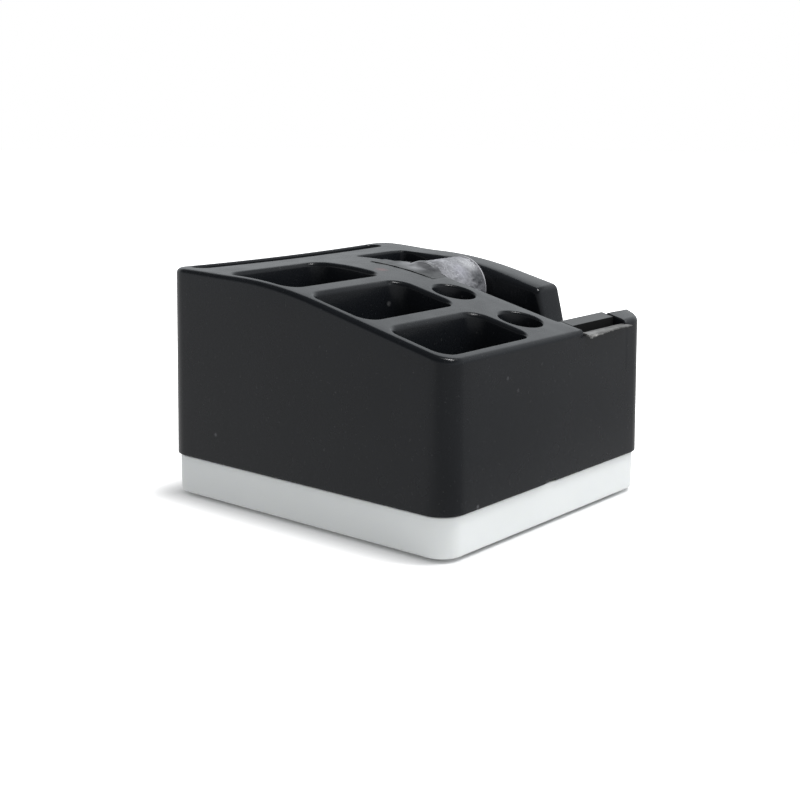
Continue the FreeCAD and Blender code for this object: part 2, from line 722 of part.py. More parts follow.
sketch = new_sketch(tongue, "Block", "XY_Plane", TONGUE_TOP)
rectangle(sketch, TONGUE_LEFT, TONGUE_RIGHT, BLOCK_FRONT, BLOCK_BACK)
extrude(tongue, "Pad", sketch, f"seam_height - {TONGUE_TOP}")
sketch = new_sketch(tongue, "Spigot", "XY_Plane", "seam_height")
rectangle(sketch, TONGUE_LEFT, TONGUE_RIGHT, BLOCK_FRONT, "body_depth - shell_wall - cover_gap")
extrude(tongue, "Pad", sketch, "cover_recess")

sketch = new_sketch(tongue, "BlockHollows", "XY_Plane", COVER_BOTTOM)
posts = [x for x, y in BLOCK_SCREWS]
lefts = [f"{TONGUE_LEFT} + block_wall"] + [f"{x} + post_radius" for x in posts]
rights = [f"{x} - post_radius" for x in posts] + [f"{TONGUE_RIGHT} - block_wall"]
for left, right in zip(lefts, rights):
    rectangle(
        sketch, left, right, f"{BLOCK_FRONT} + block_wall",
        "body_depth - shell_wall - cover_gap - block_wall")
extrude(tongue, "Pocket", sketch, f"{COVER_BOTTOM} - {TONGUE_TOP}")

sketch = new_sketch(tongue, "PostBores", "XY_Plane", "tongue_bottom")
for x, y in BLOCK_SCREWS:
    circle(sketch, x, y, "screw_thread + screw_hole_gap")
extrude(tongue, "Pocket", sketch, COVER_BOTTOM, backwards=True)
sketch = new_sketch(tongue, "HeadBores", "XY_Plane", "tongue_bottom")
for x, y in BLOCK_SCREWS:
    circle(sketch, x, y, "screw_head + screw_hole_gap")
extrude(tongue, "Pocket", sketch, "counterbore_depth", backwards=True)

FEET = [
    ("foot_front_left", f"({TONGUE_LEFT} + foot_side)", "foot_front"),
    ("foot_front_right", f"({TONGUE_RIGHT} - foot_side)", "foot_front"),
    ("foot_rear_left", f"({TONGUE_LEFT} + foot_side)", "(body_depth - foot_space)"),
    ("foot_rear_right", f"({TONGUE_RIGHT} - foot_side)", "(body_depth - foot_space)"),
]
sketch = new_sketch(tongue, "FootRecess", "XY_Plane", "tongue_bottom")
for label, x, y in FEET:
    square(sketch, x, y, "(foot_size + 2 * seat_gap)")
extrude(tongue, "Pocket", sketch, "foot_recess", backwards=True)

feet = []
for label, x, y in FEET:
    foot = new_body(label)
    sketch = new_sketch(foot, "FootPad", "XY_Plane")
    square(sketch, x, y, "foot_size")
    extrude(foot, "Pad", sketch, "tongue_bottom + foot_recess")
    feet.append(foot)

base_screws = joined("base_screws", [
    screw(f"base_screw_{index}", x, y, "tongue_bottom + counterbore_depth - screw_head_height",
          "screw_head", "screw_thread", "long_screw_length")
    for index, (x, y) in enumerate(BLOCK_SCREWS)
])


# Drawer: a tray as wide as the housing, with a channel underneath for the tongue and a notch at the
# back for the block.

TRAY_RIGHT = "(body_width - drawer_inset)"
TRAY_END = "(body_depth - drawer_inset)"
TRAY_TOP = "(seam_height - drawer_gap)"

tray = new_body("drawer_tray")
sketch = new_sketch(tray, "TrayOutline", "XY_Plane", "drawer_bottom")
rounded_rectangle(
    sketch, "drawer_inset", TRAY_RIGHT, "drawer_inset", TRAY_END, "corner_radius - drawer_inset")
extrude(tray, "Pad", sketch, f"{TRAY_TOP} - drawer_bottom")
dress(tray, "Chamfer", "BottomEdge", "drawer_edge", lambda point: (
    abs(point.z - number("drawer_bottom")) < 0.01))

sketch = new_sketch(tray, "TrayInside", "XY_Plane", TRAY_TOP)
rounded_rectangle(
    sketch, "drawer_inset + drawer_wall", f"{TRAY_RIGHT} - drawer_wall", "drawer_inset + drawer_wall",
    f"{TRAY_END} - drawer_wall", "corner_radius - drawer_inset - drawer_wall")
extrude(tray, "Pocket", sketch, f"{TRAY_TOP} - {TRAY_UNDERSIDE} - drawer_floor")

sketch = new_sketch(tray, "NotchWalls", "XY_Plane", TRAY_TOP)
rectangle(
    sketch, "drawer_cheek - drawer_wall", "body_width - drawer_cheek + drawer_wall",
    f"{DRAWER_BACK} - drawer_wall", f"{TRAY_END} - drawer_wall / 2")
extrude(tray, "Pad", sketch, f"{TRAY_TOP} - {TRAY_UNDERSIDE}", backwards=True)
sketch = new_sketch(tray, "Notch", "XY_Plane", TRAY_TOP)
rectangle(sketch, "drawer_cheek", "body_width - drawer_cheek", DRAWER_BACK, "body_depth")
extrude(tray, "Pocket", sketch, TRAY_TOP)

sketch = new_sketch(tray, "TongueWay", "XY_Plane", TRAY_UNDERSIDE)
rectangle(sketch, "drawer_cheek", "body_width - drawer_cheek", "drawer_inset + drawer_wall", "body_depth")
extrude(tray, "Pocket", sketch, TRAY_UNDERSIDE)


# Cutter: the holder's foot clamps the blade's leg against the housing's front wall.

holder = new_body("cutter_holder")
sketch = new_sketch(holder, "HolderSection", "YZ_Plane", CUTTER_LEFT)
polygon(sketch, [
    ("front_wall + blade_thickness", "cutter_seat"),
    ("holder_back", "cutter_seat"),
    ("holder_back", f"front_height + holder_back * {SLOPE}"),
    ("holder_back - holder_bar", f"front_height + (holder_back - holder_bar) * {SLOPE}"),
    ("holder_back - holder_bar", "cutter_seat + holder_foot"),
    ("front_wall + blade_thickness", "cutter_seat + holder_foot"),
])
extrude(holder, "Pad", sketch, "cutter_width")
sketch = new_sketch(holder, "HolderPilot", "XY_Plane", "cutter_seat")
circle(sketch, *CUTTER_SCREW, "cutter_screw_thread + pilot_gap")
extrude(holder, "Pocket", sketch, "cutter_screw_length - cup_wall + pilot_gap", backwards=True)

cutter_screw = screw("cutter_screw", *CUTTER_SCREW, "cutter_seat - cup_wall - screw_head_height",
                     "cutter_screw_head", "cutter_screw_thread", "cutter_screw_length")

blade = new_body("cutter_blade")
sketch = new_sketch(blade, "BladeSection", "YZ_Plane", CUTTER_LEFT)
polygon(sketch, [
    ("-blade_overhang", f"{BLADE_TOP} - blade_thickness"),
    ("front_wall", f"{BLADE_TOP} - blade_thickness"),
    ("front_wall", "cutter_seat + blade_lift"),
    ("front_wall + blade_thickness", "cutter_seat + blade_lift"),
    ("front_wall + blade_thickness", BLADE_TOP),
    ("-blade_overhang", BLADE_TOP),
])
extrude(blade, "Pad", sketch, "cutter_width")
dress(blade, "Fillet", "BladeBend", "blade_bend", lambda point: (
    abs(point.y - number("front_wall + blade_thickness")) < 0.01 and abs(point.z - number(BLADE_TOP)) < 0.01))

PITCH = "(cutter_width / tooth_count)"
sketch = new_sketch(blade, "ToothGap", "XY_Plane", BLADE_TOP)
polygon(sketch, [
    (f"{CUTTER_LEFT} - {PITCH} / 2", "-blade_overhang"),
    (f"{CUTTER_LEFT} - {PITCH} / 2", "-blade_overhang - 1"),
    (f"{CUTTER_LEFT} + {PITCH} / 2", "-blade_overhang - 1"),
    (f"{CUTTER_LEFT} + {PITCH} / 2", "-blade_overhang"),
    (CUTTER_LEFT, "tooth_depth - blade_overhang"),
])
gap = extrude(blade, "Pocket", sketch, "2 * blade_thickness")
teeth = blade.newObject("PartDesign::LinearPattern", "Teeth")
teeth.Originals = [gap]
teeth.Direction = (sketch, ["H_Axis"])
teeth.setExpression("Length", bound("cutter_width"))
teeth.setExpression("Occurrences", bound("tooth_count + 1"))
blade.Tip = teeth


# Reel: two hub halves that plug together, the tape on them, and the pin on which they turn.

REEL_LEFT = f"({CHANNEL_LEFT} + (channel_width - reel_length) / 2 - body_width / 2)"
AXLE_BACK = "(axle_back + (blade_overhang - body_depth) / 2)"
HALF = "reel_length / 2"
BORE = "(axle_radius + bore_gap)"
SLEEVE_INSIDE = "(sleeve_radius - sleeve_wall)"
SPIGOT_OUTSIDE = "(sleeve_radius - sleeve_wall - spigot_gap)"
SPIGOT_INSIDE = "(sleeve_radius - sleeve_wall - spigot_gap - spigot_wall)"

hub_left = turned_about_axle("hub_half_left", [
    ("0", BORE),
    ("0", "flange_radius"),
    ("flange_thickness", "flange_radius"),
    ("flange_thickness", "sleeve_radius"),
    (HALF, "sleeve_radius"),
    (HALF, SPIGOT_OUTSIDE),
    (f"{HALF} + spigot_length", SPIGOT_OUTSIDE),
    (f"{HALF} + spigot_length", SPIGOT_INSIDE),
    ("web_thickness", SPIGOT_INSIDE),
    ("web_thickness", BORE),
])
hub_right = turned_about_axle("hub_half_right", [
    ("reel_length", BORE),
    ("reel_length", "flange_radius"),
    ("reel_length - flange_thickness", "flange_radius"),
    ("reel_length - flange_thickness", "sleeve_radius"),
    (HALF, "sleeve_radius"),
    (HALF, SLEEVE_INSIDE),
    ("reel_length - web_thickness", SLEEVE_INSIDE),
    ("reel_length - web_thickness", BORE),
])
tape = turned_about_axle("tape_winding", [
    ("flange_thickness + seat_gap", "sleeve_radius + tape_gap"),
    ("reel_length - flange_thickness - seat_gap", "sleeve_radius + tape_gap"),
    ("reel_length - flange_thickness - seat_gap", TAPE_RADIUS),
    ("flange_thickness + seat_gap", TAPE_RADIUS),
])

PIN_LEFT = "((reel_length - channel_width) / 2 - axle_reach)"
PIN_RIGHT = "((reel_length + channel_width) / 2 + axle_reach)"
pin = turned_about_axle("axle_pin", [
    (PIN_LEFT, "0"),
    (PIN_LEFT, "axle_radius"),
    (PIN_RIGHT, "axle_radius"),
    (PIN_RIGHT, "0"),
])


# Loose end of the tape: a film that lies along the deck, next to the channel.

film = new_body("tape_end")
sketch = new_sketch(film, "FilmUnderside", "YZ_Plane", f"{CHANNEL_LEFT} - tail_reach")
deck_outline(sketch, "(-tail_gap)")
extrude(film, "Pad", sketch, "tail_reach + seat_gap")
sketch = new_sketch(film, "FilmTop", "YZ_Plane")
deck_outline(sketch, "(-tail_gap - tail_thickness)")
through(film, sketch)
sketch = new_sketch(film, "FilmEnds", "XY_Plane", ABOVE)
rectangle(sketch, "0", "body_width", "-20", "axle_back - tail_lead")
rectangle(sketch, "0", "body_width", "axle_back - tail_lead + tail_length", "body_depth + 20")
extrude(film, "Pocket", sketch, ABOVE)


# Check every object, then write one file for each sub-part.

NODES = [
    housing, cover, cover_screws, ballast, tongue, base_screws, *feet, tray, holder, cutter_screw, blade, pin,
    hub_left, hub_right, tape, film,
]
doc.recompute()
for item in doc.Objects:
    if "Invalid" in item.State or "Error" in item.State:
        raise RuntimeError(f"{item.Name} has not computed: {item.State}")
os.makedirs("parts", exist_ok=True)
for node in NODES:
    if node.Shape.isNull() or not node.Shape.isValid():
        raise RuntimeError(f"{node.Label} has no valid shape")
    node.Shape.exportStep(f"parts/{node.Label}.step")
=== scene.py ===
import math

import bpy
from mathutils import Matrix, Vector, noise
from mathutils.geometry import delaunay_2d_cdt


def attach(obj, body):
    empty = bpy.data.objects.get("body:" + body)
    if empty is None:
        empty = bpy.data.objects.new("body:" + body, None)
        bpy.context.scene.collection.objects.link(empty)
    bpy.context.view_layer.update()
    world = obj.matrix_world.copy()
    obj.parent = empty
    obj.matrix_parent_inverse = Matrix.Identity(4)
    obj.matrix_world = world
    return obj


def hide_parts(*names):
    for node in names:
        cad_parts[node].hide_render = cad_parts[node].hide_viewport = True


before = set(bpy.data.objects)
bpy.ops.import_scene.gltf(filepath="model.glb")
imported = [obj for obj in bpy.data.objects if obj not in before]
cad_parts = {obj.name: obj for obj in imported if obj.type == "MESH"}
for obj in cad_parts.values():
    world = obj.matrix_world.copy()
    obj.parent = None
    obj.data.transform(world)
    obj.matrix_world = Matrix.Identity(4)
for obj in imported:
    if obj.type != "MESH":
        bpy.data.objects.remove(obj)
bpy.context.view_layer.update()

# Sizes in millimetres, from the housing's front left corner at the desk.
ORIGIN = (60.0, 63.85)
WIDTH = 120.0
DEPTH = 130.5
SEAM = 15.6
REAR_TOP = 83.3
FRONT_TOP = 65.2
SLOPE = math.radians(13.1)
BEND = 180.0
DRAFT = math.tan(math.radians(1.19))
CORNER = 9.1
RIM = 1.9
FRONT_RIM = 1.65
SHELL = 3.4
COVER_TOP = 18.32
# The thumb notch in the lower front edge: centre, width and height.
NOTCH = (58.0, 7.6, 0.7)

# Bins, pen wells and card slot.
BINS = ((5.0, 29.7), (36.9, 63.8), (71.0, 103.2))
BIN_SIDES = (5.0, 52.0)
BIN_CORNER = 6.0
BIN_LIP = 1.6
NEAR_LIP = 0.45
CUP_FLOOR = 29.0
WELLS = (18.0, 47.0)
WELL_X = 63.0
WELL_RADIUS = 7.7
WELL_LIP = 1.0
SLOT = (8.0, 108.5, 118.2, 125.8)
SLOT_CORNER = 3.7
SLOT_LIP = 0.8
SLOT_FLOOR = 60.0

# Channel (left, right, front, back), the cutter's seat in front of it, the low side and the arm.
CHANNEL = (75.5, 104.5, 11.0, 105.2)
CHANNEL_CORNER = 2.5
CHANNEL_LIP = 1.1
CHANNEL_FLOOR = 38.0
SHARP_LIP = 0.5
SEAT_LEFT = 77.3
SEAT_CORNER = 1.2
SEAT_TURN = 0.6
SEAT_FLOOR = 50.0
FRONT_WALL = 2.9
LEDGE = 63.7
BLOCK_CORNER = 0.8
BLOCK_RIGHT = 118.4
BLOCK_ROUND = 1.5
GAP_FRONT = 9.3
GAP_FLOOR = 46.0
GAP_ROUND = 1.0
UPPER_FOOT = GAP_FLOOR - 1
ARM_FRONT = 39.3
ARM_CORNER = 2.0
ARM_LIP = 4.0
ARM_END_LIP = 1.6
ARM_LIP_FULL = 80.0
LEAN_START = 62.0

# Where the moulded top leaves its nominal heights: by how much, and from where to where it sets in.
REAR_START = (96, 122)
REAR_CORNERS = 0.85
REAR_SINK = 0.3
ARM_SIDE = (98, 107)
ARM_START = (20, 32)
ARM_SINK = 0.62
CROWN_SIDE = (98, 104.5)
CROWN_BACK = (100, 85)
CROWN_LEVEL = 112
CROWN_WIDTH = 7.5
CROWN_DROP = 0.9
BLOCK_SIDE = (103.5, 104.5)
BLOCK_BACK = (16, 11)
BLOCK_RISE = 0.7
TOP_START = (62, 72)

# The drawer's tray, and the way under it for the base tongue (left, right, front).
TRAY = (1.0, 119.0, 1.0, 129.5)
TRAY_NOTCH = (13.0, 107.0, 116.6)
TRAY_CORNER = 8.1
TRAY_BOTTOM = 1.2
TRAY_ROUND = 1.3
TRAY_UNDER = 2.65
TRAY_FLOOR = 4.25
TRAY_TOP = 15.25
TRAY_WALL = 2.0
TRAY_RIM = 0.4
TRAY_STEPS = 6

# The blade (left, right), its section from the tip to the foot, and its worn left end.
BLADE = (78.2, 104.3)
BLADE_TOP = 64.4
BLADE_TIP = -2.0
BLADE_HALF = -0.4
BLADE_FLAT = 1.0
BLADE_BACK = 3.5
BLADE_THICK = 0.6
BLADE_TIP_THICK = 0.35
BLADE_BEND = 0.9
BLADE_KNEE = 57.0
BLADE_FOOT = 50.8
BLADE_WORN_BACK = 0.8
BLADE_HALF_WORN = 0.45
# How the edge drops with the share of the way to the left: amount, start and run of each step.
BLADE_DROPS = ((1.0, 0.3, 0.7), (0.35, 0.8, 0.2))
# Ripples along the edge: amount, frequency and phase.
BLADE_WAVES = ((0.08, 1.9, 0.0), (0.05, 4.3, 1.0))
TEETH = 21
TOOTH = 0.65

# The reel: its axis (distance from the front, height), film (left, right, radius) and hub.
AXLE = (73.3, 71.5)
FILM = (77.9, 101.3, 11.55)
FLANGE = 11.95
SLEEVE = 10.7
BORE = 2.6
FILM_STEPS = 240
FILM_COLUMNS = 48
# The outer turn: how far it stands off where loose, sinks in a crease, is tucked in at the left end
# and can sink at most; how far its torn edge starts in and reaches; and the rings that close it.
FILM_LOOSE = 0.36
FILM_CREASE = 0.75
FILM_TUCK = 0.25
FILM_LOWEST = -0.3
FILM_TORN = (0.4, 1.0, 1.6)
FILM_ENDS = (0.9, 1.2)
HUB_STEPS = 96

# The loose end of the tape: on the deck, then over the channel's edge and the reel.
FLAP_Y = (60, 90)
FLAP_X = (67.2, 75.6)
FLAP_STEPS = 60
FLAP_COLUMNS = 12
TAIL_COLUMNS = 14
TAIL_RADIUS = 12.2
TAIL_CENTRE = 74.0
TAIL_HALF = 11.0
TAIL_RISE = (73.6, 5.0)
TAIL_REACH = (3.2, 2.2)
FLAP_THICK = 0.08
FLAP_LIFT = 0.02
FLAP_CURL = 0.10
FLAP_CREASE = 0.12


def row_frame(x, y, z):
    return ((x - ORIGIN[0]) / 1000, (y - ORIGIN[1]) / 1000, z / 1000)


KNEE = (REAR_TOP - FRONT_TOP) / math.tan(SLOPE)
BEND_RUN = BEND * math.tan(SLOPE / 2)


def deck(y):
    """Height of the deck at the distance y from the front."""
    if y <= KNEE - BEND_RUN * math.cos(SLOPE):
        return FRONT_TOP + y * math.tan(SLOPE)
    if y >= KNEE + BEND_RUN:
        return REAR_TOP
    return REAR_TOP - BEND + math.sqrt(BEND ** 2 - (KNEE + BEND_RUN - y) ** 2)


def limited(share):
    return max(0.0, min(1.0, share))


def ease(share):
    share = limited(share)
    return share * share * (3 - 2 * share)


def ramp(value, start, end):
    """Rises smoothly from zero at the start to one at the end."""
    return ease((value - start) / (end - start))


def inset(z):
    """How far the drafted outside stands back from its size at the seam."""
    return (z - SEAM) * DRAFT


def sag(x, y, z):
    """How far the moulded top stands off its nominal height.

    The arm sinks and is crowned towards the channel; the rear corners and the front block stand up."""
    rear = ramp(y, *REAR_START)
    behind_cutter = ramp(y, *ARM_START)
    arm = ramp(x, *ARM_SIDE) * (1 - rear) * behind_cutter
    across = (2 * x / WIDTH - 1) ** 2
    crown = max(0.0, (CROWN_LEVEL - x) / CROWN_WIDTH) ** 2
    crown *= ramp(x, *CROWN_SIDE) * behind_cutter * ramp(y, *CROWN_BACK)
    block = ramp(x, *BLOCK_SIDE) * ramp(y, *BLOCK_BACK)
    rise = REAR_CORNERS * across * rear - REAR_SINK * rear - ARM_SINK * arm
    return (rise - CROWN_DROP * crown + BLOCK_RISE * block) * ramp(z, *TOP_START)


class Shell:
    """Collects faces in millimetres and welds the corners that coincide."""

    def __init__(self):
        self.places = []
        self.faces = []
        self.known = {}

    def corner(self, point):
        key = tuple(round(value, 3) for value in point)
        if key not in self.known:
            self.known[key] = len(self.places)
            self.places.append(point)
        return self.known[key]

    def face(self, points):
        corners = []
        for point in points:
            index = self.corner(point)
            if index not in corners:
                corners.append(index)
        if len(corners) > 2:
            self.faces.append(corners)

    def strip(self, rows, closed=False, flip=False):
        """Quads between rows of points; each row has the same count."""
        for low, high in zip(rows, rows[1:]):
            count = len(low)
            for step in range(count if closed else count - 1):
                following = (step + 1) % count
                corners = [low[step], low[following], high[following], high[step]]
                self.face(corners[::-1] if flip else corners)

    def build(self, name, sharp=35):
        mesh = bpy.data.meshes.new(name)
        mesh.from_pydata([row_frame(*place) for place in self.places], [], self.faces)
        mesh.validate()
        mesh.polygons.foreach_set("use_smooth", [True] * len(mesh.polygons))
        mesh.set_sharp_from_angle(angle=math.radians(sharp))
        mesh.update()
        piece = bpy.data.objects.new(name, mesh)
        bpy.context.scene.collection.objects.link(piece)
        return piece


def arc(cx, cy, radius, start, end, count):
    """Points on a plan arc with their outward normals, from one angle in degrees to another."""
    found = []
    for step in range(count + 1):
        angle = math.radians(start + (end - start) * step / count)
        nx, ny = math.cos(angle), math.sin(angle)
        found.append((cx + radius * nx, cy + radius * ny, nx, ny))
    return found


def line(x0, y0, x1, y1, count):
    """Points inside a plan line, ends left out, with the normal on its right hand side."""
    length = math.hypot(x1 - x0, y1 - y0)
    nx, ny = (y1 - y0) / length, -(x1 - x0) / length
    return [(x0 + (x1 - x0) * s / count, y0 + (y1 - y0) * s / count, nx, ny) for s in range(1, count)]


def rounded(x0, x1, y0, y1, r, corner_steps=8, pitch=4.0):
    """A rounded rectangle in plan, counterclockwise, with outward normals."""
    across = max(1, round((x1 - x0 - 2 * r) / pitch))
    along = max(1, round((y1 - y0 - 2 * r) / pitch))
    path = []
    path += arc(x0 + r, y0 + r, r, 180, 270, corner_steps)
    path += line(x0 + r, y0, x1 - r, y0, across)
    path += arc(x1 - r, y0 + r, r, 270, 360, corner_steps)
    path += line(x1, y0 + r, x1, y1 - r, along)
    path += arc(x1 - r, y1 - r, r, 0, 90, corner_steps)
    path += line(x1 - r, y1, x0 + r, y1, across)
    path += arc(x0 + r, y1 - r, r, 90, 180, corner_steps)
    path += line(x0, y1 - r, x0, y0 + r, along)
    return path


ARC_STEPS = 6
FILLET_STEPS = 4


class Edge:
    """One point of an upper edge in plan: its place, the direction away from the material, the edge's
    radius, how it drifts with the outside's draft, and its share of the arm's forward lean."""

    def __init__(self, x, y, nx, ny, radius, drift=(0.0, 0.0), lean=0.0):
        self.x, self.y, self.nx, self.ny = x, y, nx, ny
        self.radius, self.drift, self.lean = radius, drift, lean

    def plan(self, back, z):
        return (
            self.x - self.nx * back + self.drift[0] * inset(z),
            self.y - self.ny * back + self.drift[1] * inset(z))

    def lip(self, angle):
        """The point of the rounded edge at an angle from the deck (0) to the wall (a right angle)."""
        back = self.radius * (1 - math.sin(angle))
        drop = self.radius * (1 - math.cos(angle))
        x, y = self.plan(back, deck(self.y) - drop)
        return x, y - self.lean * drop * math.tan(SLOPE), deck(y) - drop

    def wall(self, z):
        """The point of the wall below the edge at the height z."""
        x, y = self.plan(0.0, z)
        fall = deck(self.plan(0.0, deck(self.y))[1]) - z
        return x, y - self.lean * fall * math.tan(SLOPE), z


def edges(points, radius, drift=(0.0, 0.0), lean=0.0):
    """Edge points from plan points; radius and drift may run from one value to another."""
    first, last = radius if isinstance(radius, tuple) else (radius, radius)
    found = []
    for step, (x, y, nx, ny) in enumerate(points):
        share = step / max(1, len(points) - 1)
        if drift == "outward":
            moved = (-nx, -ny)
        elif isinstance(drift[0], tuple):
            moved = tuple(a + (b - a) * share for a, b in zip(*drift))
        else:
            moved = drift
        leaning = lean(y) if callable(lean) else lean
        rounding = radius(nx, ny) if callable(radius) else first + (last - first) * share
        found.append(Edge(x, y, nx, ny, rounding, moved, leaning))
    return found


def reversed_normals(points):
    return [(x, y, -nx, -ny) for x, y, nx, ny in points]


def lip_rows(path):
    """Rows over the rounded edge, from the deck to the wall."""
    angles = [math.pi / 2 * step / ARC_STEPS for step in range(ARC_STEPS + 1)]
    return [[edge.lip(angle) for edge in path] for angle in angles]


def wall_rows(path, bottom, count):
    """Rows from the foot of the rounded edge down to the height bottom."""
    tops = [edge.lip(math.pi / 2)[2] for edge in path]
    return [
        [edge.wall(top + (bottom - top) * step / count) for edge, top in zip(path, tops)]
        for step in range(count + 1)]


def inside(x, y, loop):
    found = False
    for (x0, y0), (x1, y1) in zip(loop, loop[1:] + loop[:1]):
        if (y0 > y) != (y1 > y) and x < (x1 - x0) * (y - y0) / (y1 - y0) + x0:
            found = not found
    return found


def distance_to(x, y, loop):
    best = 1e9
    for (x0, y0), (x1, y1) in zip(loop, loop[1:] + loop[:1]):
        dx, dy = x1 - x0, y1 - y0
        share = limited(((x - x0) * dx + (y - y0) * dy) / (dx * dx + dy * dy + 1e-12))
        best = min(best, math.hypot(x - x0 - share * dx, y - y0 - share * dy))
    return best


def deck_faces(shell, loops, pitch=4.0):
    """The deck between its outline, which is the first loop, and its holes, in triangles."""
    plans = [[(x, y) for x, y, z in loop] for loop in loops]

    def on_deck(x, y):
        return inside(x, y, plans[0]) and not any(inside(x, y, plan) for plan in plans[1:])

    places, borders = [], []
    for plan in plans:
        first = len(places)
        places += [Vector(p) for p in plan]
        borders += [(first + k, first + (k + 1) % len(plan)) for k in range(len(plan))]
    heights = [z for loop in loops for x, y, z in loop]
    for column in range(int(WIDTH / pitch)):
        for row in range(int(DEPTH / pitch)):
            x, y = (column + 0.5) * pitch, (row + 0.5) * pitch
            if on_deck(x, y) and min(distance_to(x, y, plan) for plan in plans) > pitch * 0.4:
                places.append(Vector((x, y)))
                heights.append(deck(y))
    points, _, triangles, sources, _, _ = delaunay_2d_cdt(places, borders, [], 0, 1e-6)
    for triangle in triangles:
        if on_deck(sum(points[k][0] for k in triangle) / 3, sum(points[k][1] for k in triangle) / 3):
            shell.face([(points[k][0], points[k][1], heights[sources[k][0]]) for k in triangle])


def hollow(shell, plan, lip, floor, taper=0.6, fillet=2.0):
    """A hollow in the deck with a rounded lip, a drafted wall and a filleted floor.

    Gives its ring on the deck."""

    def rounding(nx, ny):
        """The worn sides towards the front left are sharper than the far ones."""
        return NEAR_LIP + (lip - NEAR_LIP) * limited((1 - nx - ny) / 2)

    path = edges(reversed_normals(plan), rounding)
    rows = lip_rows(path)
    bottom = floor + fillet
    for share in (0.25, 0.6, 1.0):
        rows.append([
            (x - nx * taper * share, y - ny * taper * share, top + (bottom - top) * share)
            for (x, y, nx, ny), (_, _, top) in zip(plan, rows[ARC_STEPS])])
    for step in range(1, FILLET_STEPS + 1):
        angle = math.pi / 2 * step / FILLET_STEPS
        reach = taper + fillet * (1 - math.cos(angle))
        height = bottom - fillet * math.sin(angle)
        rows.append([(x - nx * reach, y - ny * reach, height) for x, y, nx, ny in plan])
    shell.strip(rows, closed=True, flip=True)
    shell.face(rows[-1])
    return rows[0]


def near_rim(_, ny):
    """The outside edge is rounded less along the front than along the side."""
    return RIM + (FRONT_RIM - RIM) * ny * ny


def arm_lean(y):
    """The share of the arm's forward lean at the distance y from the front."""
    return limited((LEAN_START - y) / (LEAN_START - ARM_FRONT - ARM_CORNER))


def main_deck(shell):
    """The deck's outline with the walls under it: cutter seat, channel, arm and outside."""
    x0, x1, y0, y1 = CHANNEL
    still, front, left = (0.0, 0.0), (0.0, 1.0), (-1.0, 0.0)
    turn, tight = SEAT_TURN, SEAT_CORNER
    seat = edges(arc(SEAT_LEFT - tight, tight, tight, -90, 0, 6), (tight, SHARP_LIP), front)
    seat += edges(line(SEAT_LEFT, tight, SEAT_LEFT, y0 - turn, 5), SHARP_LIP, (front, still))
    seat += edges(arc(SEAT_LEFT - turn, y0 - turn, turn, 0, 90, 3), SHARP_LIP)
    # Two points round the corner where the seat's back meets the channel's left wall.
    seat += edges([(x0 + 0.5, y0, 0.2, 0.98), (x0 + 0.1, y0 + 0.2, 0.7, 0.7)], SHARP_LIP)
    turn = CHANNEL_CORNER
    channel = edges(line(x0, y0, x0, y1 - turn, 30), (0.6, CHANNEL_LIP))
    channel += edges(reversed_normals(arc(x0 + turn, y1 - turn, turn, 180, 90, 6)), CHANNEL_LIP)
    channel += edges(line(x0 + turn, y1, x1 - turn, y1, 6), CHANNEL_LIP)
    channel += edges(reversed_normals(arc(x1 - turn, y1 - turn, turn, 90, 0, 6)), CHANNEL_LIP)
    channel += edges(line(x1, y1 - turn, x1, ARM_LIP_FULL, 8), (CHANNEL_LIP, ARM_LIP))
    channel += edges([(x1, ARM_LIP_FULL, -1.0, 0.0)], ARM_LIP)
    turn = ARM_CORNER
    channel += edges(line(x1, ARM_LIP_FULL, x1, ARM_FRONT + turn, 14), (ARM_LIP, turn), lean=arm_lean)
    end = edges(arc(x1 + turn, ARM_FRONT + turn, turn, 180, 270, 6), (turn, ARM_END_LIP), lean=1.0)
    end += edges(
        line(x1 + turn, ARM_FRONT, WIDTH - turn, ARM_FRONT, 4), (ARM_END_LIP, RIM), (still, left), 1.0)
    end += edges(arc(WIDTH - turn, ARM_FRONT + turn, turn, 270, 360, 6), RIM, left, 1.0)
    outside = edges(
        line(WIDTH, ARM_FRONT + turn, WIDTH, DEPTH - CORNER, 24), RIM, "outward", arm_lean)
    for points, radius in (
        (arc(WIDTH - CORNER, DEPTH - CORNER, CORNER, 0, 90, 12), RIM),
        (line(WIDTH - CORNER, DEPTH, CORNER, DEPTH, 20), RIM),
        (arc(CORNER, DEPTH - CORNER, CORNER, 90, 180, 12), RIM),
        (line(0, DEPTH - CORNER, 0, CORNER, 30), RIM),
        (arc(CORNER, CORNER, CORNER, 180, 270, 12), near_rim),
        (line(CORNER, 0, SEAT_LEFT - 6, 0, 13), FRONT_RIM),
        (line(SEAT_LEFT - 7, 0, SEAT_LEFT - tight, 0, 6), (FRONT_RIM, tight)),
    ):
        outside += edges(points, radius, "outward")
    rows = lip_rows(seat + channel + end + outside)
    shell.strip(rows, closed=True, flip=True)
    shell.strip(wall_rows(seat + channel[:1], SEAT_FLOOR, 3), flip=True)
    shell.strip(wall_rows(channel + end[:1], CHANNEL_FLOOR, 6), flip=True)
    shell.strip(wall_rows(end + outside[:1], UPPER_FOOT, 4), flip=True)
    shell.strip(wall_rows(outside + seat[:1], UPPER_FOOT, 4), flip=True)
    return rows[0]


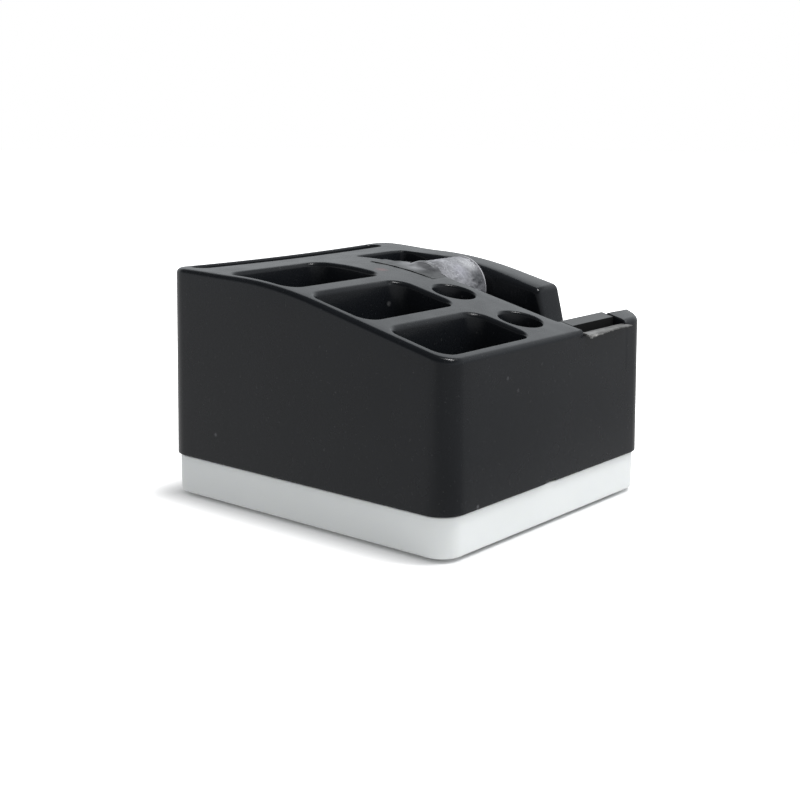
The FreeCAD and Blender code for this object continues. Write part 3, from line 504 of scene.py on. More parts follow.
def island(shell):
    """The block in the front right corner, between the cutter and the low side."""
    left, right, back, turn = CHANNEL[1], BLOCK_RIGHT, GAP_FRONT, BLOCK_CORNER
    still, front, inward = (0.0, 0.0), (0.0, 1.0), (-1.0, 0.0)
    path = []
    for points, radius, drift in (
        (arc(left + turn, turn, turn, 180, 270, 4), (SHARP_LIP, FRONT_RIM), front),
        (line(left + turn, 0, WIDTH - CORNER, 0, 4), FRONT_RIM, "outward"),
        (arc(WIDTH - CORNER, CORNER, CORNER, 270, 350, 12), near_rim, "outward"),
        (arc(right, back - BLOCK_ROUND, BLOCK_ROUND, -5, 90, 5), (RIM, 1.2), inward),
        (line(right, back, left + turn, back, 5), (1.2, turn), (inward, still)),
        (arc(left + turn, back - turn, turn, 90, 180, 4), (turn, SHARP_LIP), still),
        (line(left, back - turn, left, turn, 4), SHARP_LIP, (still, front)),
    ):
        path += edges(points, radius, drift)
    rows = lip_rows(path)
    shell.strip(rows, closed=True, flip=True)
    shell.strip(wall_rows(path, UPPER_FOOT, 4), closed=True, flip=True)
    shell.face(rows[0])


def box_faces(shell, x0, x1, y0, y1, z0, z1, sides):
    """The named sides of an upright box: the letters w, e, n and t."""
    a, b, c, d = (x0, y0), (x1, y0), (x1, y1), (x0, y1)
    walls = {"e": (b, c), "n": (c, d), "w": (d, a)}
    for side in sides:
        if side == "t":
            shell.face([(*p, z1) for p in (a, b, c, d)])
        else:
            p, q = walls[side]
            shell.face([(*p, z0), (*q, z0), (*q, z1), (*p, z1)])


def notch(x, y):
    """How far the thumb notch lifts the housing's lower edge at a place near its front."""
    centre, width, height = NOTCH
    if y > DEPTH / 2:
        return 0.0
    return max(0.0, min(height, width / 2 - abs(x - centre)))


def lower_body(shell):
    """The outside below the low side's floor, the rim under it and the recess for the bottom cover."""
    centre, width, height = NOTCH
    added = [centre + side * (width / 2 - fall) for side in (-1, 1) for fall in (0.0, height)]
    corner_steps = 12
    plan = rounded(0, WIDTH, 0, DEPTH, CORNER, corner_steps)
    front = [p for p in plan if p[1] < 0.001 and CORNER < p[0] < WIDTH - CORNER]
    rest = [p for p in plan if p not in front]
    front = sorted(front + [(x, 0.0, 0.0, -1.0) for x in added])
    plan = rest[:corner_steps + 1] + front + rest[corner_steps + 1:]

    def row(z, back=0.0):
        reach = inset(z) + back
        return [
            (x - nx * reach, y - ny * reach, z + notch(x, y) * (z < SEAM + 1)) for x, y, nx, ny in plan]

    rows = [row(UPPER_FOOT), row(35.0), row(25.0), row(SEAM + 0.9), row(SEAM + 0.3)]
    rows += [row(SEAM + 0.08, 0.08), row(SEAM, 0.3)]
    shell.strip(rows, closed=True, flip=True)
    wall = [(x - nx * SHELL, y - ny * SHELL) for x, y, nx, ny in plan]
    inner = [(x, y, SEAM + notch(px, py)) for (x, y), (px, py, _, _) in zip(wall, plan)]
    shell.strip([rows[-1], inner, [(x, y, COVER_TOP) for x, y in wall]], closed=True, flip=True)
    shell.face([(x, y, COVER_TOP) for x, y in reversed(wall)])


def housing_piece():
    shell = Shell()
    rings = [main_deck(shell)]
    for front, back in BINS:
        rings.append(hollow(shell, rounded(*BIN_SIDES, front, back, BIN_CORNER), BIN_LIP, CUP_FLOOR))
    for y in WELLS:
        plan = arc(WELL_X, y, WELL_RADIUS, 0, 360, 44)[:-1]
        rings.append(hollow(shell, plan, WELL_LIP, CUP_FLOOR, taper=0.4, fillet=1.0))
    plan = rounded(*SLOT, SLOT_CORNER)
    rings.append(hollow(shell, plan, SLOT_LIP, SLOT_FLOOR, taper=0.3, fillet=1.0))
    deck_faces(shell, rings)
    island(shell)

    # Front wall under the blade, the seat behind it, the channel's floor and the low side's floor.
    # Some run on for a few millimetres behind the walls that they meet.
    x0, x1, y0, y1 = CHANNEL
    sides = (SEAT_LEFT - SEAT_CORNER, x1 + BLOCK_CORNER)
    shell.strip([[(x, inset(z), z) for x in sides] for z in (UPPER_FOOT, LEDGE)])
    box_faces(shell, *sides, inset(LEDGE), FRONT_WALL, SEAT_FLOOR, LEDGE, "tn")
    box_faces(shell, x0, x1, FRONT_WALL, y0, CHANNEL_FLOOR, SEAT_FLOOR, "tn")
    box_faces(shell, x0, x1, y0, y1, CHANNEL_FLOOR, CHANNEL_FLOOR, "t")
    box_faces(shell, x1, WIDTH, y0, ARM_FRONT + 3, CHANNEL_FLOOR, GAP_FLOOR, "w")
    box_faces(shell, x1, x1, GAP_FRONT - 1, y0, GAP_FLOOR, SEAT_FLOOR, "e")
    low_side = (GAP_FRONT - 1.6, ARM_FRONT - 5.0)
    right = WIDTH - inset(GAP_FLOOR) - GAP_ROUND
    box_faces(shell, x1, right, *low_side, 0, GAP_FLOOR, "t")
    lip = []
    for step in range(ARC_STEPS + 1):
        angle = math.pi / 2 * step / ARC_STEPS
        z = GAP_FLOOR - GAP_ROUND + GAP_ROUND * math.cos(angle)
        x = WIDTH - inset(z) - GAP_ROUND + GAP_ROUND * math.sin(angle)
        lip.append([(x, y, z) for y in low_side])
    shell.strip(lip)
    lower_body(shell)
    shell.places = [(x, y, z + sag(x, y, z)) for x, y, z in shell.places]
    return shell.build("housing_skin")


def drawer_piece():
    """The tray: outside, rim, inside, and the way under it for the base tongue."""
    shell = Shell()
    left, right, front, back = TRAY
    notch_left, notch_right, notch_front = TRAY_NOTCH
    turn, wall = TRAY_CORNER, TRAY_WALL
    outline = arc(left + turn, back - turn, turn, 90, 180, 10)
    outline += line(left, back - turn, left, front + turn, 8)
    outline += arc(left + turn, front + turn, turn, 180, 270, 10)
    outline += line(left + turn, front, right - turn, front, 8)
    outline += arc(right - turn, front + turn, turn, 270, 360, 10)
    outline += line(right, front + turn, right, back - turn, 8)
    outline += arc(right - turn, back - turn, turn, 0, 90, 10)
    # Each point has its place, its way in for an offset and its way in for the rounded lower edge.
    path = [(notch_left, notch_front, 1.0, 1.0, 0.0, 0.0), (notch_left, back, 1.0, 1.0, 0.0, 1.0)]
    path += [(x, y, nx, ny, nx, ny) for x, y, nx, ny in outline]
    path += [(notch_right, back, -1.0, 1.0, 0.0, 1.0), (notch_right, notch_front, -1.0, 1.0, 0.0, 0.0)]

    def row(z, rounding=0.0, offset=0.0):
        return [
            (x - rx * rounding - ox * offset, y - ry * rounding - oy * offset, z)
            for x, y, ox, oy, rx, ry in path]

    rows = []
    for step in range(TRAY_STEPS, -1, -1):
        angle = math.pi / 2 * step / TRAY_STEPS
        height = TRAY_BOTTOM + TRAY_ROUND * (1 - math.sin(angle))
        rows.append(row(height, TRAY_ROUND * (1 - math.cos(angle))))
    rows += [row(5.0), row(10.0), row(TRAY_TOP - TRAY_RIM)]
    for angle in (0.5, 1.05, math.pi / 2):
        height = TRAY_TOP - TRAY_RIM + TRAY_RIM * math.sin(angle)
        rows.append(row(height, offset=TRAY_RIM * (1 - math.cos(angle))))
    for height, offset in (
        (TRAY_TOP, wall - 0.3), (TRAY_TOP - 0.1, wall - 0.1), (TRAY_TOP - 0.3, wall),
        (TRAY_FLOOR + 1.5, wall), (TRAY_FLOOR + 0.5, wall + 0.4), (TRAY_FLOOR, wall + 1.5),
    ):
        rows.append(row(height, offset=offset))
    shell.strip(rows)
    # The rows up to the tray's underside end in one line at the way for the tongue.
    ends = [[r[-1], r[0]] for r in rows]
    ends[:TRAY_STEPS + 2] = [[(x, y, TRAY_UNDER) for x, y, _ in ends[0]]]
    shell.strip(ends)
    shell.face(rows[-1])
    near, far = front + wall, notch_front
    way = [(notch_left, near), (notch_right, near), (notch_right, far), (notch_left, far)]
    shell.face([*reversed(rows[0][1:-1]), (*way[0], TRAY_BOTTOM), (*way[1], TRAY_BOTTOM)])
    shell.face([(*corner, TRAY_UNDER) for corner in reversed(way)])
    for start, end in ((0, 3), (1, 0), (2, 1)):
        a, b = way[start], way[end]
        shell.face([(*a, TRAY_UNDER), (*b, TRAY_UNDER), (*b, TRAY_BOTTOM), (*a, TRAY_BOTTOM)])
    return shell.build("drawer_skin")


def blade_piece():
    """The toothed blade, its front edge worn down at the left end."""
    shell = Shell()
    x0, x1 = BLADE
    pitch = (x1 - x0) / TEETH
    rows = []
    for step in range(4 * TEETH + 1):
        x = x0 + pitch * step / 4
        share = (x1 - x) / (x1 - x0)
        drop = sum(amount * ease((share - start) / run) for amount, start, run in BLADE_DROPS)
        tip = BLADE_TIP + BLADE_WORN_BACK * share * share + TOOTH * abs((step + 2) % 4 - 2) / 2
        wave = sum(amount * math.sin(x * pace + phase) for amount, pace, phase in BLADE_WAVES)
        edge, half = BLADE_TOP - drop + wave, BLADE_TOP - drop * BLADE_HALF_WORN
        top = [(tip, edge), (BLADE_HALF, half + wave * 0.5), (BLADE_FLAT, BLADE_TOP - 0.02)]
        for angle in (0, 0.5, 1.05, math.pi / 2):
            y = BLADE_BACK - BLADE_BEND * (1 - math.sin(angle))
            top.append((y, BLADE_TOP - BLADE_BEND * (1 - math.cos(angle))))
        under = [(tip, edge - BLADE_TIP_THICK), (BLADE_HALF, half - BLADE_THICK)]
        under += [(y, BLADE_TOP - BLADE_THICK) for y in (BLADE_FLAT, *[FRONT_WALL] * 4)]
        for z in (BLADE_KNEE, BLADE_FOOT):
            top.append((BLADE_BACK, z))
            under.append((FRONT_WALL, z))
        rows.append([(x, y, z) for y, z in top + under[::-1]])
    foot = len(rows[0]) // 2
    shell.strip(rows, flip=True)
    shell.strip([[row[0], row[-1]] for row in rows])
    shell.strip([[row[foot - 1], row[foot]] for row in rows], flip=True)
    for row, flip in ((rows[0], False), (rows[-1], True)):
        for step in range(foot - 1):
            corners = [row[step], row[step + 1], row[-2 - step], row[-1 - step]]
            shell.face(corners[::-1] if flip else corners)
    return shell.build("blade_skin", 30)


def ripple(*place):
    return noise.noise(Vector(place))


def wobble(x, turn, seed):
    """A smooth value between about -1 and 1 that varies along and round the reel."""
    return ripple(x * 0.22 + seed, 2.2 * math.cos(turn), 2.2 * math.sin(turn))


def on_reel(x, radius, turn):
    return x, AXLE[0] + radius * math.cos(turn), AXLE[1] + radius * math.sin(turn)


def around_reel(shell, profile, flip=False):
    """Turns a profile of distance along the reel and radius about the reel's axis."""
    turns = [2 * math.pi * step / HUB_STEPS for step in range(HUB_STEPS)]
    rows = [[on_reel(x, radius, turn) for turn in turns] for x, radius in profile]
    shell.strip(rows, closed=True, flip=flip)


def film_piece():
    """The wound tape: a crumpled outer turn with a ragged left edge over a plain roll."""
    shell = Shell()
    x0, x1, radius = FILM
    start, least, spread = FILM_TORN
    turns = [2 * math.pi * step / FILM_STEPS for step in range(FILM_STEPS)]
    rows = []
    for column in range(FILM_COLUMNS + 1):
        share = column / FILM_COLUMNS
        row = []
        for turn in turns:
            fingers = ripple(9.0, 7 * math.cos(turn), 7 * math.sin(turn))
            ragged = 1.1 * wobble(3.0, turn * 2, 5.0) + 0.6 * fingers
            near = x0 + start + max(0.0, least + ragged * spread)
            x = near + (x1 - near) * share
            crease = abs(wobble(x * 2.1, turn * 2, 1.0)) + 0.5 * abs(wobble(x * 5.0, turn * 4, 2.0))
            loose = FILM_LOOSE - FILM_CREASE * crease - FILM_TUCK * max(0.0, 1 - share * 9)
            row.append(on_reel(x, radius + max(FILM_LOWEST, loose), turn))
        rows.append(row)
    first = [on_reel(x, radius - FILM_ENDS[0], turn) for (x, _, _), turn in zip(rows[0], turns)]
    last = [on_reel(x1, radius - FILM_ENDS[1], turn) for turn in turns]
    shell.strip([first, *rows, last], closed=True)
    return shell.build("tape_film_skin", 60)


def hub_left_piece():
    """The left hub half: end web, flange, sleeve and the spigot that goes into the other half."""
    shell = Shell()
    around_reel(shell, [
        (76.8, BORE), (76.8, FLANGE - 0.2), (76.9, FLANGE), (77.7, FLANGE), (77.8, FLANGE - 0.15),
        (77.8, SLEEVE), (90.0, SLEEVE), (90.0, 9.15), (94.5, 9.15), (94.5, 8.05), (78.4, 8.05),
        (78.4, BORE), (76.8, BORE)])
    return shell.build("hub_left_skin", 40)


def hub_right_piece():
    """The right hub half, whose thin flange shows beside the tape."""
    shell = Shell()
    around_reel(shell, [
        (102.2, BORE), (102.2, FLANGE - 0.2), (102.1, FLANGE), (101.5, FLANGE), (101.4, FLANGE - 0.15),
        (101.4, SLEEVE), (90.1, SLEEVE), (90.1, 9.2), (100.6, 9.2), (100.6, BORE), (102.2, BORE),
    ], flip=True)
    return shell.build("hub_right_skin", 40)


def flap_piece():
    """The loose end: a film on the deck beside the channel that runs on over the reel's left end."""
    shell = Shell()
    (x0, x1), (y0, y1) = FLAP_X, FLAP_Y
    rise_start, rise_run = TAIL_RISE
    mean_reach, ragged_reach = TAIL_REACH
    rows = []
    for column in range(FLAP_COLUMNS + TAIL_COLUMNS + 1):
        row = []
        for step in range(FLAP_STEPS + 1):
            y = y0 + (y1 - y0) * step / FLAP_STEPS
            if column <= FLAP_COLUMNS:
                x = x0 + (x1 - x0) * column / FLAP_COLUMNS
            else:
                ragged = 0.7 * ripple(5, y * 0.45, 0) + 0.5 * ripple(2, y * 1.3, 0)
                bow = math.sqrt(max(0.0, 1 - ((y - TAIL_CENTRE) / TAIL_HALF) ** 4))
                reach = bow * (mean_reach + ragged_reach * ragged)
                x = x1 + reach * (column - FLAP_COLUMNS) / TAIL_COLUMNS
            curl = ease(1 - column / 4) * (FLAP_CURL + FLAP_CURL * ripple(x, y * 0.25, 0))
            low = deck(y) + FLAP_LIFT + FLAP_THICK * ramp(y, y0, y0 + 4) + curl
            over = AXLE[1] + math.sqrt(max(0.0, TAIL_RADIUS ** 2 - (y - AXLE[0]) ** 2))
            crease = FLAP_CREASE * abs(ripple(x * 0.9, y * 0.5, 4)) * ramp(x, 75, 77)
            z = low + max(0.0, over - low) * ease((x - rise_start) / rise_run) + crease
            edge = 0.4 * ripple(3, y * 0.12, 0) * max(0.0, 1 - column / FLAP_COLUMNS)
            row.append((x + edge, y, z))
        rows.append(row)
    below = [[(x, y, z - FLAP_THICK) for x, y, z in row] for row in rows]
    shell.strip(rows, flip=True)
    shell.strip(below)
    shell.strip([below[0], rows[0]], flip=True)
    shell.strip([rows[-1], below[-1]], flip=True)
    shell.strip([[row[0] for row in rows], [row[0] for row in below]], flip=True)
    shell.strip([[row[-1] for row in below], [row[-1] for row in rows]], flip=True)
    return shell.build("tape_flap_skin", 50)


def add_node(tree, kind, *sources, **settings):
    """A new shader node. Its inputs take the sources in order, each a socket or a value.

    A capitalised setting sets the input of that name, any other one a property of the node."""
    made = tree.nodes.new("ShaderNode" + kind)
    for name, value in settings.items():
        if name[0].isupper():
            made.inputs[name.replace("_", " ")].default_value = value
        else:
            setattr(made, name, value)
    for socket, source in zip(made.inputs, sources):
        if isinstance(source, bpy.types.NodeSocket):
            tree.links.new(source, socket)
        else:
            socket.default_value = source
    return made


# Materials: each a node tree with patterns in the object's own coordinates.

class Look:
    """A material in the making, with its shader and the coordinates that its patterns use."""

    def __init__(self, name, **sockets):
        self.material = bpy.data.materials.new(name)
        self.material.use_nodes = True
        self.tree = self.material.node_tree
        self.shader = self.tree.nodes["Principled BSDF"]
        self.place = self.add("TexCoord").outputs["Object"]
        for socket, value in sockets.items():
            self.shader.inputs[socket.replace("_", " ")].default_value = value

    def add(self, kind, *sources, **settings):
        return add_node(self.tree, kind, *sources, **settings)

    def plug(self, source, name):
        self.tree.links.new(source, self.shader.inputs[name])

    def noise(self, scale, detail=3.0, roughness=0.5, stretch=None):
        place = self.place
        if stretch:
            place = self.add("Mapping", place, Scale=stretch).outputs["Vector"]
        return self.add("TexNoise", place, Scale=scale, Detail=detail, Roughness=roughness).outputs[0]

    def remap(self, value, low, high, start=0.0, end=1.0):
        made = self.add("MapRange", value, From_Min=low, From_Max=high, To_Min=start, To_Max=end)
        return made.outputs["Result"]

    def mix(self, share, first, second):
        made = self.add("Mix", share, data_type="RGBA")
        for index, value in ((6, first), (7, second)):
            if isinstance(value, bpy.types.NodeSocket):
                self.tree.links.new(value, made.inputs[index])
            else:
                made.inputs[index].default_value = (*value, 1.0)
        return made.outputs[2]

    def math(self, operation, first, second):
        return self.add("Math", first, second, operation=operation).outputs[0]

    def spot(self, centre, radius):
        """One near the centre, in millimetres from the housing's corner; nothing beyond the radius."""
        apart = self.add("VectorMath", self.place, row_frame(*centre), operation="DISTANCE")
        return self.remap(apart.outputs["Value"], radius / 1000, radius / 3000)

    # Mixes in spots of colour: real marks and dust, and also painted shade and painted highlights.
    def with_spots(self, colour, spots):
        for centre, radius, share, tint in spots:
            colour = self.mix(self.math("MULTIPLY", self.spot(centre, radius), share), colour, tint)
        return colour

    def colour(self, value):
        self.plug(value, "Base Color")

    def gloss(self, pattern, low, high, span=(0.3, 0.7)):
        """Roughness that runs from low to high while the pattern runs over its span."""
        self.plug(self.remap(pattern, *span, low, high), "Roughness")

    def bump(self, height, strength, distance=0.00008):
        made = self.add("Bump", Strength=strength, Distance=distance)
        self.tree.links.new(height, made.inputs["Height"])
        self.plug(made.outputs["Normal"], "Normal")


# Scuffs, dust and a reddish stain on the housing, with painted highlights on the arm's front corner, in
# the rear bin's inner rear corner and on the middle bin's rear lip: centre, radius, strength and
# colour.
SCUFFS_DUST_AND_HIGHLIGHTS = (
    ((58.2, 76.8, 82.0), 3.0, 0.35, (0.22, 0.05, 0.05)),
    ((46.9, 63.8, 72.0), 1.2, 0.6, (0.12, 0.12, 0.125)),
    ((32.1, 0.6, 55.8), 0.9, 0.25, (0.14, 0.14, 0.15)),
    ((37.9, 0.6, 50.9), 0.9, 0.2, (0.12, 0.12, 0.13)),
    ((16.0, 0.4, 16.6), 1.0, 0.5, (0.16, 0.16, 0.17)),
    ((0.6, 104.7, 26.1), 1.0, 0.5, (0.14, 0.14, 0.15)),
    # Painted highlight on the arm's front corner.
    ((104.9, 39.7, 73.6), 1.1, 0.8, (0.75, 0.75, 0.75)),
    # Painted highlight in the rear bin's inner rear corner.
    ((51.6, 102.6, 80.6), 1.7, 0.7, (0.40, 0.41, 0.42)),
    # Painted highlight on the middle bin's rear lip.
    ((47.3, 62.6, 79.5), 1.5, 0.35, (0.30, 0.31, 0.32)),
)
# Tones painted on the film: a painted shade on the front of its right end, a painted highlight above it
# and a lavender streak.
FILM_SHADE_HIGHLIGHT_AND_STREAK = (
    # Painted shade on the front of the right end.
    ((99.5, 62.3, 76.5), 5.5, 0.75, (0.035, 0.037, 0.042)),
    # Painted highlight on the top of the right end.
    ((98.0, 67.0, 81.8), 5.0, 0.6, (0.55, 0.56, 0.58)),
    ((90.0, 64.5, 79.8), 5.0, 0.4, (0.25, 0.25, 0.30)),
)
# The middle of the strip of the loose end that lies over the reel.
TAIL_SPOT = (79.2, 73.5, 83.2)


def housing_look():
    look = Look("housing black", IOR=1.33)
    body = look.mix(look.noise(35, 4), (0.0062, 0.0072, 0.0090), (0.0100, 0.0114, 0.0138))
    dust = look.remap(look.noise(900, 2, 0.7), 0.66, 0.78, 0.0, 0.35)
    # Scuffs, dust, the stain and the painted highlights from the table above.
    look.colour(look.with_spots(look.mix(dust, body, (0.09, 0.09, 0.092)), SCUFFS_DUST_AND_HIGHLIGHTS))
    look.gloss(look.noise(120, 4), 0.22, 0.29)
    grain = look.math("ADD", look.noise(2600, 2), look.math("MULTIPLY", look.noise(420, 3), 0.8))
    look.bump(grain, 0.25)
    return look.material


def holder_shaded_look():
    """The housing's black, darker as a painted shade of the recess, and dull on the upright faces
    inside the recess.
    """
    look = Look("holder black", IOR=1.33)
    # Darker than the housing's black: painted shade of the recess.
    look.colour(look.mix(look.noise(60, 4), (0.0028, 0.0029, 0.0030), (0.0050, 0.0052, 0.0054)))
    split = look.add("SeparateXYZ", look.add("NewGeometry").outputs["Normal"])
    look.gloss(split.outputs["Z"], 0.85, 0.24, (0.3, 0.8))
    look.bump(look.noise(900, 3), 0.2)
    return look.material


def drawer_look():
    look = Look("drawer white", IOR=1.45)
    look.shader.inputs["Subsurface Weight"].default_value = 0.15
    look.shader.inputs["Subsurface Radius"].default_value = (0.004, 0.004, 0.003)
    look.colour(look.mix(look.noise(28, 3), (0.79, 0.815, 0.81), (0.83, 0.85, 0.845)))
    look.gloss(look.noise(90, 3), 0.30, 0.42)
    look.bump(look.noise(1500, 2), 0.08, 0.00005)
    return look.material


def steel_look():
    look = Look("blade steel", Metallic=0.55, IOR=1.5)
    smear = look.noise(500, 4, 0.65, (0.35, 1.0, 1.0))
    look.colour(look.mix(look.remap(smear, 0.35, 0.7), (0.145, 0.144, 0.140), (0.32, 0.318, 0.312)))
    look.gloss(look.noise(800, 2), 0.38, 0.6)
    look.bump(look.noise(1400, 3), 0.3)
    return look.material


def film_look():
    look = Look("tape film", IOR=1.45)
    crumple = look.noise(95, 3, 0.5, (1.0, 0.8, 0.8))
    pale = look.mix(look.remap(crumple, 0.38, 0.62), (0.17, 0.172, 0.184), (0.38, 0.384, 0.415))
    # The painted shade, painted highlight and lavender streak from the table above.
    look.colour(look.with_spots(pale, FILM_SHADE_HIGHLIGHT_AND_STREAK))
    look.gloss(look.noise(300, 3), 0.24, 0.40)
    look.bump(look.noise(120, 3, 0.5), 0.45, 0.0005)
    return look.material


def flap_look():
    """Dark where the film sticks to the deck, pale and patchy where it runs over the reel."""
    look = Look("tape on deck", IOR=1.36)
    stuck = look.mix(look.noise(150, 4), (0.010, 0.011, 0.012), (0.018, 0.019, 0.021))
    loose = look.mix(look.noise(300, 4), (0.22, 0.225, 0.24), (0.38, 0.385, 0.40))
    near = look.spot(TAIL_SPOT, TAIL_HALF)
    patchy = look.math("MULTIPLY", near, look.remap(look.noise(170, 3), 0.38, 0.58, 0.45, 1.15))
    look.colour(look.mix(patchy, stuck, loose))
    look.gloss(look.noise(400, 3), 0.28, 0.38)
    look.bump(look.noise(500, 3), 0.2)
    return look.material


def plain_look(name, dark, light, low, high, scale=400, metal=0.0):
    look = Look(name, Metallic=metal)
    look.colour(look.mix(look.noise(scale, 3), dark, light))
    look.gloss(look.noise(scale * 0.6, 3), low, high)
    look.bump(look.noise(scale * 4, 2), 0.1, 0.00005)
    return look.material


def grey(level):
    return (level, level, level)


def wear(piece, material):
    piece.data.materials.clear()
    piece.data.materials.append(material)


# Each piece with its body, the nodes that it stands for, its material slot and its look.
PIECES = (
    (housing_piece(), "housing_body", ("housing",), "housing_plastic", housing_look()),
    (drawer_piece(), "drawer", ("drawer_tray",), "drawer_plastic", drawer_look()),
    (blade_piece(), "housing_body", ("cutter_blade",), "blade_steel", steel_look()),
    (film_piece(), "reel", ("tape_winding",), "tape_film", film_look()),
    (hub_left_piece(), "reel", ("hub_half_left",), "hub_plastic", plain_look(
        "hub grey", (0.16, 0.165, 0.17), (0.26, 0.265, 0.275), 0.3, 0.45)),
    (hub_right_piece(), "reel", ("hub_half_right",), "hub_plastic", plain_look(
        "hub pale", (0.32, 0.32, 0.34), (0.42, 0.42, 0.44), 0.3, 0.45)),
    (flap_piece(), "axle", ("tape_end",), "tape_film", flap_look()),
)
for piece, body, nodes, slot, material in PIECES:
    wear(piece, material)
    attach(piece, body)
    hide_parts(*nodes)

# Looks for the nodes that are shown as packed.
zinc = plain_look("zinc", grey(0.50), grey(0.66), 0.25, 0.4, 900, 1.0)
cover_black = plain_look("cover black", (0.02, 0.02, 0.022), (0.03, 0.03, 0.032), 0.45, 0.6)
NODE_LOOKS = {
    "bottom_cover": cover_black,
    "base_tongue": cover_black,
    "cover_screws": zinc,
    "base_screws": zinc,
    "cutter_screw": zinc,
    "ballast_weight": plain_look("plate steel", grey(0.22), grey(0.36), 0.4, 0.6, 300, 1.0),
    "cutter_holder": holder_shaded_look(),
    "axle_pin": plain_look("pin steel", grey(0.5), grey(0.66), 0.2, 0.32, 700, 1.0),
}
rubber = plain_look("rubber", grey(0.02), grey(0.04), 0.7, 0.85)
for corner in ("front_left", "front_right", "rear_left", "rear_right"):
    NODE_LOOKS[f"foot_{corner}"] = rubber
for node, material in NODE_LOOKS.items():
    wear(bpy.data.objects[node], material)


# Camera, from a fit of the housing's edges: metres and radians in the part's frame.
CAMERA_PLACE = (-0.38374, -0.31441, 0.14609)
CAMERA_YAW = 0.8761
CAMERA_PITCH = 0.221
CAMERA_ROLL = 0.0046
FOCAL_PIXELS = 1379.62
IMAGE_PIXELS = 800
SENSOR = 36.0

# Surroundings. The sky lights the object. Glossy faces reflect a wall that fades with height to a
# ceiling, is weaker at the sides (from, to, level at each) and near the ground, and a floor of its own.
WHITE = (1, 1, 1, 1)
SKY_COLOUR = (0.98, 0.99, 1.0, 1)
SKY_SPAN = (-0.1, 0.9)
SKY_LOW = 0.49
SKY_HIGH = 0.67
WALL_COLOUR = (0.93, 0.97, 1.0, 1)
WALL_LIGHT = 1.24
WALL_FADE = (0.34, 0.60)
WALL_TILT = 0.3
WALL_SIDES = ((0.36, 0.64, 1.0, 0.72), (-0.45, 0.25, 0.7, 1.0))
WALL_FOOT = (-0.14, 0.16, 0.66)
CEILING = 0.08
FLOOR_RADIUS = 3.0
FLOOR_COLOUR = (0.86, 0.86, 0.86, 1)
FLOOR_INSET = (0.005, 0.003)
FLOOR_GLOW = 0.03
FLOOR_CLEAR = 0.024
FLOOR_MIRRORED = ((-0.14, -0.02, 0.50, 0.82), (-0.42, -0.14, 0.16, 0.0))
# Lamps: name, place, aim, size, power, colour, and whether glossy faces mirror them.
LAMPS = (
    ("key", (0.86, -0.90, 0.92), (0, 0, 0.04), 1.35, 8.1, (0.965, 0.975, 1.0), False),
    ("top", (0.31, -0.43, 1.3), (0, 0, 0.05), 0.25, 8.5, (1, 1, 1), True),
)


def make_camera():
    right = Vector((math.cos(CAMERA_YAW), -math.sin(CAMERA_YAW), 0))
    ahead = Vector((
        math.sin(CAMERA_YAW) * math.cos(CAMERA_PITCH),
        math.cos(CAMERA_YAW) * math.cos(CAMERA_PITCH),
        -math.sin(CAMERA_PITCH)))
    above = right.cross(ahead)
    turned_right = math.cos(CAMERA_ROLL) * right + math.sin(CAMERA_ROLL) * above
    turned_above = math.cos(CAMERA_ROLL) * above - math.sin(CAMERA_ROLL) * right
    data = bpy.data.cameras.new("camera")
    data.sensor_width = SENSOR
    data.lens = FOCAL_PIXELS / IMAGE_PIXELS * SENSOR
    data.clip_start = 0.01
    camera = bpy.data.objects.new("camera", data)
    bpy.context.scene.collection.objects.link(camera)
    camera.matrix_world = Matrix.Translation(CAMERA_PLACE) @ Matrix((
        turned_right, turned_above, -ahead)).transposed().to_4x4()
    bpy.context.scene.camera = camera


def seen_by(tree, *kinds):
    """One for rays of the given kinds, and zero for all others."""
    path = add_node(tree, "LightPath")
    value = path.outputs[kinds[0]]
    for kind in kinds[1:]:
        value = add_node(tree, "Math", value, path.outputs[kind], operation="MAXIMUM").outputs[0]
    return value


def make_world():
    """White for the camera; a soft sky as a light; a pale wall under a dark ceiling in reflections."""
    world = bpy.data.worlds.new("studio")
    bpy.context.scene.world = world
    world.use_nodes = True
    tree = world.node_tree

    def add(kind, *sources, **settings):
        return add_node(tree, kind, *sources, **settings).outputs[0]

    def remap(value, low, high, start, end=1.0):
        return add("MapRange", value, From_Min=low, From_Max=high, To_Min=start, To_Max=end)

    def times(first, second):
        return add("Math", first, second, operation="MULTIPLY")

    directions = add_node(tree, "TexCoord").outputs["Generated"]
    x, y, z = add_node(tree, "SeparateXYZ", directions).outputs
    height = add("Math", x, -WALL_TILT, z, operation="MULTIPLY_ADD")
    level = times(remap(height, *WALL_FADE, WALL_LIGHT, CEILING), remap(height, *WALL_FOOT))
    for side in WALL_SIDES:
        level = times(level, remap(y, *side))
    sky = add("Background", SKY_COLOUR, remap(z, *SKY_SPAN, SKY_LOW, SKY_HIGH))
    lit = add("MixShader", seen_by(tree, "Is Glossy Ray"), sky, add("Background", WALL_COLOUR, level))
    white = add("Background", WHITE, 1.0)
    seen = add("MixShader", seen_by(tree, "Is Camera Ray", "Is Transmission Ray"), lit, white)
    tree.links.new(seen, tree.nodes["World Output"].inputs["Surface"])


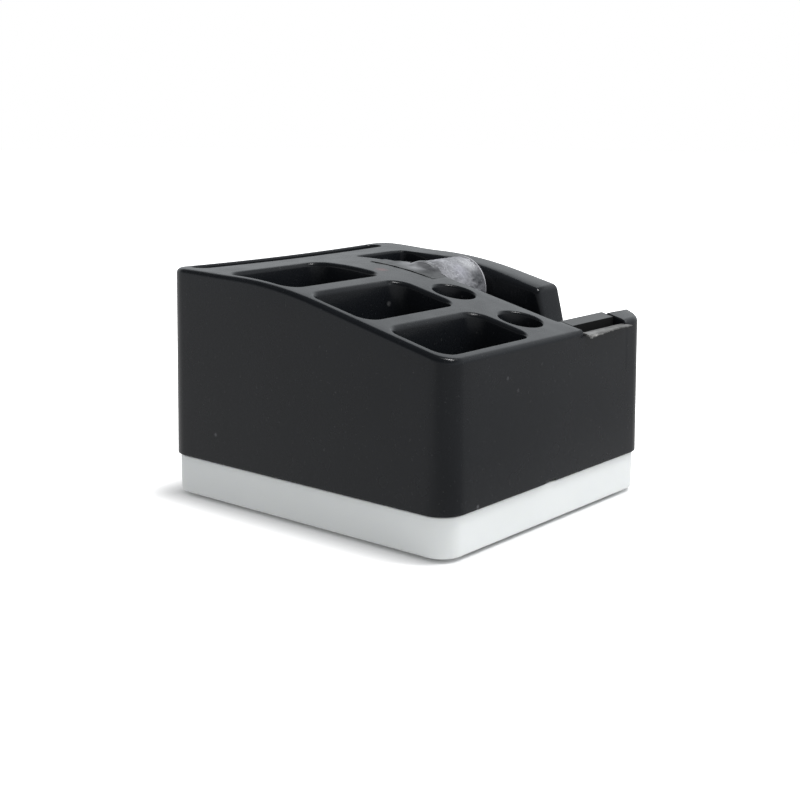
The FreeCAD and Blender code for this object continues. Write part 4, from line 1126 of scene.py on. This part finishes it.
def make_floor():
    """A pale floor that keeps the object's shadow near it and turns plain white away from it."""
    bpy.ops.mesh.primitive_circle_add(vertices=64, radius=FLOOR_RADIUS, fill_type="NGON")
    floor = bpy.context.object
    floor.name = "floor"
    material = bpy.data.materials.new("floor")
    material.use_nodes = True
    tree = material.node_tree

    def add(kind, *sources, **settings):
        return add_node(tree, kind, *sources, **settings)

    shader = tree.nodes["Principled BSDF"]
    shader.inputs["Base Color"].default_value = FLOOR_COLOUR
    shader.inputs["Roughness"].default_value = 0.9
    shader.inputs["Specular IOR Level"].default_value = 0.0

    # How far a place is from the object's footprint, and how much the floor glows there.
    place = add("TexCoord").outputs["Object"]
    footprint = (WIDTH / 2000 - FLOOR_INSET[0], DEPTH / 2000 - FLOOR_INSET[1], 0)
    apart = add("VectorMath", place, operation="ABSOLUTE").outputs[0]
    beyond = add("VectorMath", apart, footprint, operation="SUBTRACT").outputs[0]
    clear = add("VectorMath", beyond, operation="MAXIMUM").outputs[0]
    length = add("VectorMath", clear, operation="LENGTH").outputs["Value"]
    glow = add(
        "MapRange", length, interpolation_type="SMOOTHSTEP",
        From_Min=0.0, From_Max=FLOOR_CLEAR, To_Min=FLOOR_GLOW, To_Max=1.0).outputs["Result"]
    direct = seen_by(tree, "Is Camera Ray", "Is Transmission Ray")
    shown = add("Math", glow, direct, operation="MULTIPLY").outputs[0]
    emitted = add("Emission", WHITE, shown).outputs[0]
    both = add("AddShader", shader.outputs[0], emitted).outputs[0]

    # What glossy faces see in its place.
    y = add("SeparateXYZ", place).outputs["Y"]
    levels = [
        add("MapRange", y, From_Min=start, From_Max=end, To_Min=first, To_Max=last).outputs["Result"]
        for start, end, first, last in FLOOR_MIRRORED]
    mirrored = add("Emission", WHITE, add("Math", *levels).outputs[0]).outputs[0]
    mixed = add("MixShader", seen_by(tree, "Is Glossy Ray"), both, mirrored).outputs[0]
    tree.links.new(mixed, tree.nodes["Material Output"].inputs["Surface"])
    wear(floor, material)


def make_lamp(name, place, aim, size, energy, colour, mirrored):
    data = bpy.data.lights.new(name, "AREA")
    data.energy = energy
    data.size = size
    data.color = colour
    lamp = bpy.data.objects.new(name, data)
    bpy.context.scene.collection.objects.link(lamp)
    lamp.location = place
    lamp.rotation_euler = (Vector(aim) - Vector(place)).to_track_quat("-Z", "Y").to_euler()
    lamp.visible_glossy = mirrored


make_camera()
make_world()
make_floor()
for lamp in LAMPS:
    make_lamp(*lamp)
bpy.context.scene.view_settings.view_transform = "Standard"
